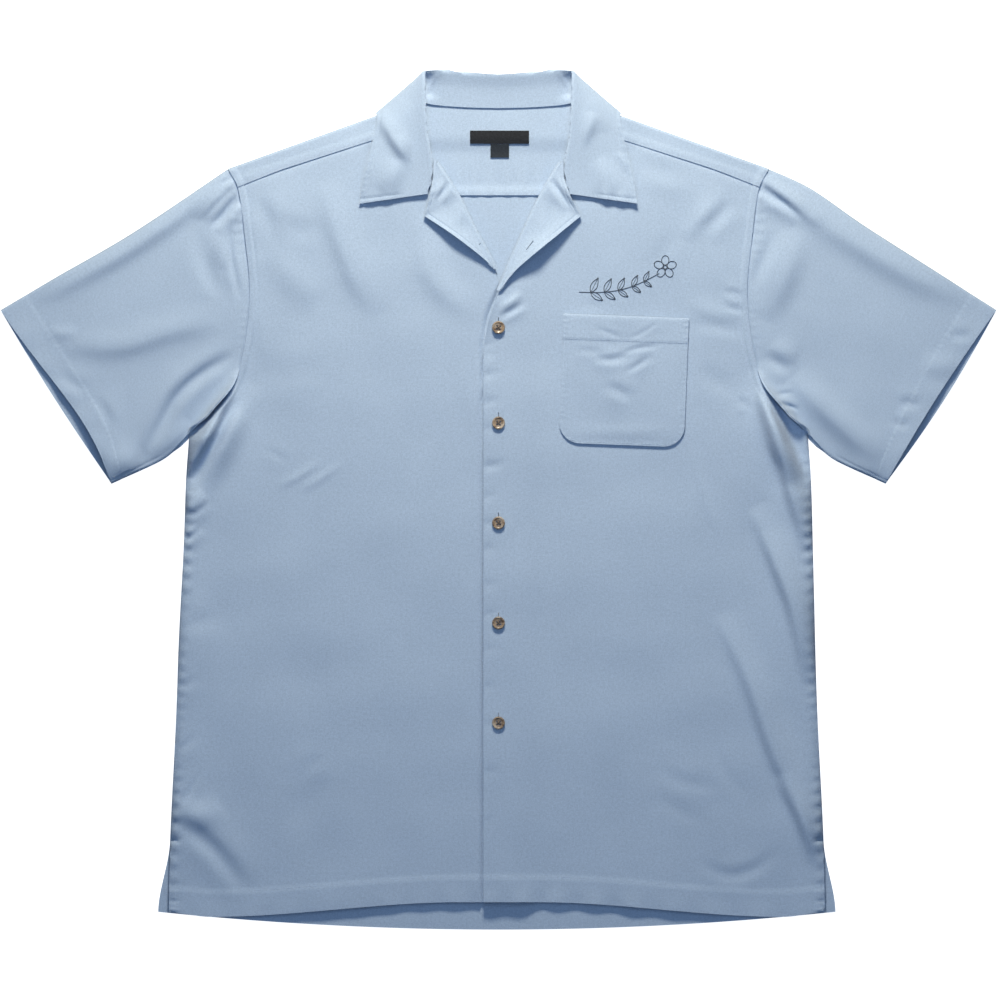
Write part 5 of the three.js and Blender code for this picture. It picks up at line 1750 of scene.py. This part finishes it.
# ---- Buttons ----
@dataclass
class Buttons:
    """Five four-hole horn buttons, each with its thread and the end of its buttonhole showing above it."""

    radius: float = 6.15
    thickness: float = 2.9
    hole_radius: float = 0.85
    hole_out: float = 1.5
    rim_angle: float = math.radians(50)
    thread_up: float = 2.05
    thread_arch: float = 0.5
    slit_half: float = 0.55
    bar_proud: float = 0.12
    slit_proud: float = 0.2
    segments: int = 48
    ys: tuple[float, ...] = (578.0, 486.3, 390.3, 294.3, 198.3)

    def blank(self) -> bpy.types.Object:
        """One button at the origin, lathed and drilled."""
        r, h = self.radius, self.thickness
        profile = (
            (0, 0), (4.6, 0), (5.6, 0.35), (r, 1.1), (r, 2.0), (r - 0.25, 2.6), (r - 0.8, h), (4.9, h - 0.1),
            (4.2, 2.35), (3.4, 2.05), (1.2, 1.95), (0, 1.95),
        )
        angle = np.linspace(0, TAU, self.segments, endpoint=False)
        rings = np.array(profile[1:-1])
        corners = [(0, 0, 0)]
        corners += [(ring * math.cos(a), ring * math.sin(a), z) for ring, z in rings for a in angle]
        corners.append((0, 0, profile[-1][1]))
        n, count = self.segments, len(rings)
        faces = [(0, 1 + (k + 1) % n, 1 + k) for k in range(n)]
        for i in range(count - 1):
            a, b = 1 + i * n, 1 + (i + 1) * n
            faces += [(a + k, a + (k + 1) % n, b + (k + 1) % n, b + k) for k in range(n)]
        top = 1 + (count - 1) * n
        faces += [(top + k, top + (k + 1) % n, len(corners) - 1) for k in range(n)]
        mesh = bpy.data.meshes.new("button_blank")
        mesh.from_pydata((np.array(corners) * MM).tolist(), [], faces)
        blank = place_in_scene("button_blank", mesh)
        for x, y in ((-1, -1), (1, -1), (1, 1), (-1, 1)):
            bpy.ops.mesh.primitive_cylinder_add(
                vertices=16, radius=self.hole_radius * MM, depth=0.02,
                location=(x * self.hole_out * MM, y * self.hole_out * MM, 0),
            )
            drill = bpy.context.active_object
            cut = blank.modifiers.new("hole", "BOOLEAN")
            cut.operation, cut.object, cut.solver = "DIFFERENCE", drill, "EXACT"
            drilled = baked(blank)
            blank.modifiers.remove(cut)
            blank.data = drilled
            bpy.data.objects.remove(drill)
        return blank

    def rest(self, name: str, y: float) -> float:
        """How high a button's foot is: where its node is, or higher where the cloth is."""
        angle = np.linspace(0, TAU, 16)
        cloth = LEFT_FRONT(self.radius * np.cos(angle), y + self.radius * np.sin(angle))
        return max(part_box(name)[0].z / MM, float(cloth.max()) + CLOTH / 2 + 0.1)

    def set_button(self, k: int, place: Array, blank: bpy.types.Mesh, horn: bpy.types.Material) -> None:
        """Sets a copy of the blank at a place in the frame, each one turned a little differently."""
        mesh = blank.copy()
        mesh.name = f"horn_button_{k}"
        co = np.empty(len(mesh.vertices) * 3, np.float32)
        mesh.vertices.foreach_get("co", co)
        turn = math.radians(9 * math.sin(5.0 * k))
        cos, sin = math.cos(turn), math.sin(turn)
        x, y, z = co.reshape(-1, 3).T
        spun = np.stack([x * cos - y * sin, x * sin + y * cos, z], 1) + place
        mesh.vertices.foreach_set("co", spun.astype(np.float32).ravel())
        mesh.materials.clear()
        mesh.materials.append(horn)
        mesh.shade_smooth()
        mesh.set_sharp_from_angle(angle=self.rim_angle)
        rides(place_in_scene(mesh.name, mesh), "horn", f"button_{k}")

    def build(self, finishes: Finishes, stitches: StitchTree) -> None:
        """Makes the buttons, their threads and their buttonholes."""
        blank = self.blank()
        threads, holes, slits = [], [], []
        for k, y in enumerate(self.ys, start=1):
            foot = self.rest(f"button_{k}", y)
            self.set_button(k, to_frame(np.array([0.0, y, foot])), blank.data, finishes.horn)
            for slant in (1, -1):
                t = np.linspace(-1, 1, 9)
                arch = foot + self.thread_up + self.thread_arch * (1 - t**4)
                threads.append(np.column_stack([t * self.hole_out, y + t * slant * self.hole_out, arch]))
            side = np.linspace(-7.5, 10.5, 30)
            for x in (-self.slit_half, self.slit_half):
                holes.append(line_on(np.column_stack([np.full(30, x), y + side]), LEFT_FRONT, self.bar_proud))
            slit = np.column_stack([np.zeros(10), y + np.linspace(6.6, 9.4, 10)])
            slits.append(line_on(slit, LEFT_FRONT, self.slit_proud))
        bpy.data.objects.remove(blank)
        stitches.sew("buttonhole_slits", slits, StitchKind.FINE, finishes.motif)
        stitches.sew("button_threads", threads, StitchKind.BUTTONHOLE, finishes.button_thread)
        stitches.sew("buttonholes", holes, StitchKind.BUTTONHOLE, finishes.thread)


# ---- The chest motif ----
@dataclass
class Sprig:
    """A small embroidered sprig over the pocket: a stem, leaves in pairs and one five-petalled flower."""

    out: float = 122.0
    y: float = 625.0
    half_length: float = 44.0
    rise: float = 25.0
    sag: float = 9.0
    petal_out: float = 6.6
    petal_half: Row = (4.4, 3.5)
    eye: float = 1.7
    proud: float = 0.15

    def stem(self, t: Array) -> Array:
        """The stem, from its cut end to the flower."""
        along = self.out + (t * 2 - 1) * self.half_length
        y = self.y - self.rise / 2 - 0.5 + self.rise * t - self.sag * np.sin(math.pi * t)
        return np.stack([along, y], axis=-1)

    @staticmethod
    def turn(angle: float) -> Array:
        """What turns rows of (x, y) by an angle."""
        return np.array([[math.cos(angle), math.sin(angle)], [-math.sin(angle), math.cos(angle)]])

    def leaf(self, root: Array, angle: float, length: float) -> list[Array]:
        """A leaf's outline and its midrib."""
        t = np.linspace(0, 1, 14)
        half = 0.2 * length * np.sin(math.pi * t**0.85)
        turn = self.turn(angle)
        outline = np.concatenate([np.stack([t * length, half], 1), np.stack([t[::-1] * length, -half[::-1]], 1)])
        rib = np.stack([t[:-1] * length * 0.95, np.zeros(13)], 1)
        return [root + outline @ turn, root + rib @ turn]

    def flower(self, centre: Array) -> list[Array]:
        """Five round petals about a small eye."""
        lines = []
        for k in range(5):
            angle = TAU * k / 5 + 0.3
            t = np.linspace(0, TAU, 20)
            petal = np.stack([self.petal_out + self.petal_half[0] * np.cos(t), self.petal_half[1] * np.sin(t)], 1)
            lines.append(centre + petal @ self.turn(angle))
        t = np.linspace(0, TAU, 14)
        return lines + [centre + self.eye * np.stack([np.cos(t), np.sin(t)], 1)]

    def build(self, finishes: Finishes, stitches: StitchTree) -> None:
        """Makes the sprig."""
        heavy, fine = [self.stem(np.linspace(0, 0.86, 40))], []
        for k, t in enumerate((0.12, 0.27, 0.42, 0.57, 0.7)):
            root = self.stem(np.array(t))
            for sign in (1, -1):
                outline, rib = self.leaf(root, 0.25 + sign * 0.85, 15.5 - 1.2 * k - (sign < 0) * 1.5)
                heavy.append(outline)
                fine.append(rib)
        heavy += self.flower(self.stem(np.array(1.0)) - [6, 1])
        for name, lines, kind in (
            ("sprig_outline", heavy, StitchKind.MOTIF),
            ("sprig_veins", fine, StitchKind.FINE),
        ):
            stitches.sew(name, [line_on(line, LEFT_FRONT, self.proud) for line in lines], kind, finishes.motif)


# ---- Studio ----
@dataclass
class Studio:
    """A pale floor, soft light from beyond the collar and a camera that looks straight down."""

    view_width: float = 0.96
    view_centre: Row = (0.00144, -0.00044)
    camera_height: float = 2.5
    key_power: float = 16.6
    key_colour: Row = (1.0, 0.925, 0.77)
    key_place: Row = (0.0, 1.45, 0.92)
    key_aim: Row = (0.0, 0.32, 0.0)
    key_size: Row = (0.38, 0.3)
    key_spread: float = math.radians(120)
    fill_power: float = 23.6
    fill_colour: Row = (0.46, 0.63, 0.9)
    fill_height: float = 2.2
    fill_size: float = 2.6
    world_strength: float = 0.105
    floor_half: float = 8.0
    floor_drop: float = 0.0005
    floor_glow: float = 0.95

    def area_light(self, name: str, place: Row, aim: Row, size: Row, power: float, colour: Row) -> bpy.types.Light:
        """Adds a soft box.

        Args:
            name: Its name.
            place: Where it stands.
            aim: The point that it faces.
            size: Its width and height.
            power: Its power in watts.
            colour: Its colour.

        Returns:
            The light's settings.
        """
        lamp = bpy.data.lights.new(name, "AREA")
        lamp.shape, lamp.size, lamp.size_y, lamp.energy = "RECTANGLE", size[0], size[1], power
        lamp.color = colour
        obj = place_in_scene(name, lamp)
        obj.location = place
        obj.rotation_euler = (Vector(aim) - Vector(place)).to_track_quat("-Z", "Y").to_euler()
        return lamp

    def build(self) -> None:
        """Makes the floor, the lights, the world and the camera."""
        scene = bpy.context.scene
        mesh = bpy.data.meshes.new("floor")
        half, low = self.floor_half, CAD_LOW.z - self.floor_drop
        corners = [(x * half, y * half, low) for x, y in ((-1, -1), (1, -1), (1, 1), (-1, 1))]
        mesh.from_pydata(corners, [], [(0, 1, 2, 3)])
        floor = place_in_scene("floor", mesh)
        material, _, shader = new_material("floor_paper", Base_Color=(0.8, 0.8, 0.8, 1), Roughness=0.9)
        shader.inputs["Emission Color"].default_value = (1, 1, 1, 1)
        shader.inputs["Emission Strength"].default_value = self.floor_glow
        mesh.materials.append(material)
        floor.visible_diffuse = False
        floor.visible_glossy = False
        key = self.area_light("key", self.key_place, self.key_aim, self.key_size, self.key_power, self.key_colour)
        key.spread = self.key_spread
        wide = (self.fill_size, self.fill_size)
        self.area_light("fill", (0, 0, self.fill_height), (0, 0, 0), wide, self.fill_power, self.fill_colour)
        world = bpy.data.worlds.new("studio")
        world.use_nodes = True
        world.node_tree.nodes["Background"].inputs["Color"].default_value = (*self.fill_colour, 1)
        world.node_tree.nodes["Background"].inputs["Strength"].default_value = self.world_strength
        scene.world = world
        scene.view_settings.view_transform = "Standard"
        lens = bpy.data.cameras.new("camera")
        lens.type, lens.ortho_scale = "ORTHO", self.view_width
        camera = place_in_scene("camera", lens)
        camera.location = (*self.view_centre, self.camera_height)
        scene.camera = camera


def main() -> None:
    """Builds every piece in order, then the studio."""
    logging.basicConfig(level=logging.INFO, format="%(name)s: %(message)s")
    finishes = Finishes(
        CHAMBRAY.material(), LABEL_SATIN.material(), TAB_SATIN.material(), SEAM_THREAD.material(),
        MOTIF_THREAD.material(), BUTTON_THREAD.material(), HORN.material(),
    )
    stitches = StitchTree.build()
    right = Front(
        Side.RIGHT, 634, 6.5, ((7.4, 637.5), (21.1, 649.5), (45.6, 668), (71.3, 685.1)), (66.4, 703.2),
        mark=((-18.2, 658), (-17.4, 658.6)),
    )
    left = Front(Side.LEFT, 613, 9, ((3.2, 615.5), (19.3, 635.1), (58.5, 668), (79.2, 685.1)), (69.5, 703.2))
    yoke = Yoke()
    pocket = Pocket(Patch(120.2, 527.2, 120.5, 124, left.height, -2.2, 20))
    labels = NeckLabels(
        Patch(1, 760.7, 56.6, 12.6, yoke.height, cloth=1), Patch(1.2, 747.6, 17.8, 12.9, yoke.height, cloth=1)
    )
    sleeves = (
        Sleeve(Side.RIGHT, 8.5, 1.7, 2.0, (SHOULDER_TIP, (351.4, 669), (426.7, 625.5), (478.1, 594.8))),
        Sleeve(Side.LEFT, 3.0, 1.0, 4.2, (SHOULDER_TIP, (300, 711.5), (351.4, 676), (426.7, 628), (478.1, 594.8))),
    )
    for piece in (BackPanel(), yoke, right, left, *sleeves, Collar(), pocket, Buttons(), Sprig()):
        piece.build(finishes, stitches)
    labels.build(finishes)
    Studio().build()


if __name__ == "__main__":
    main()
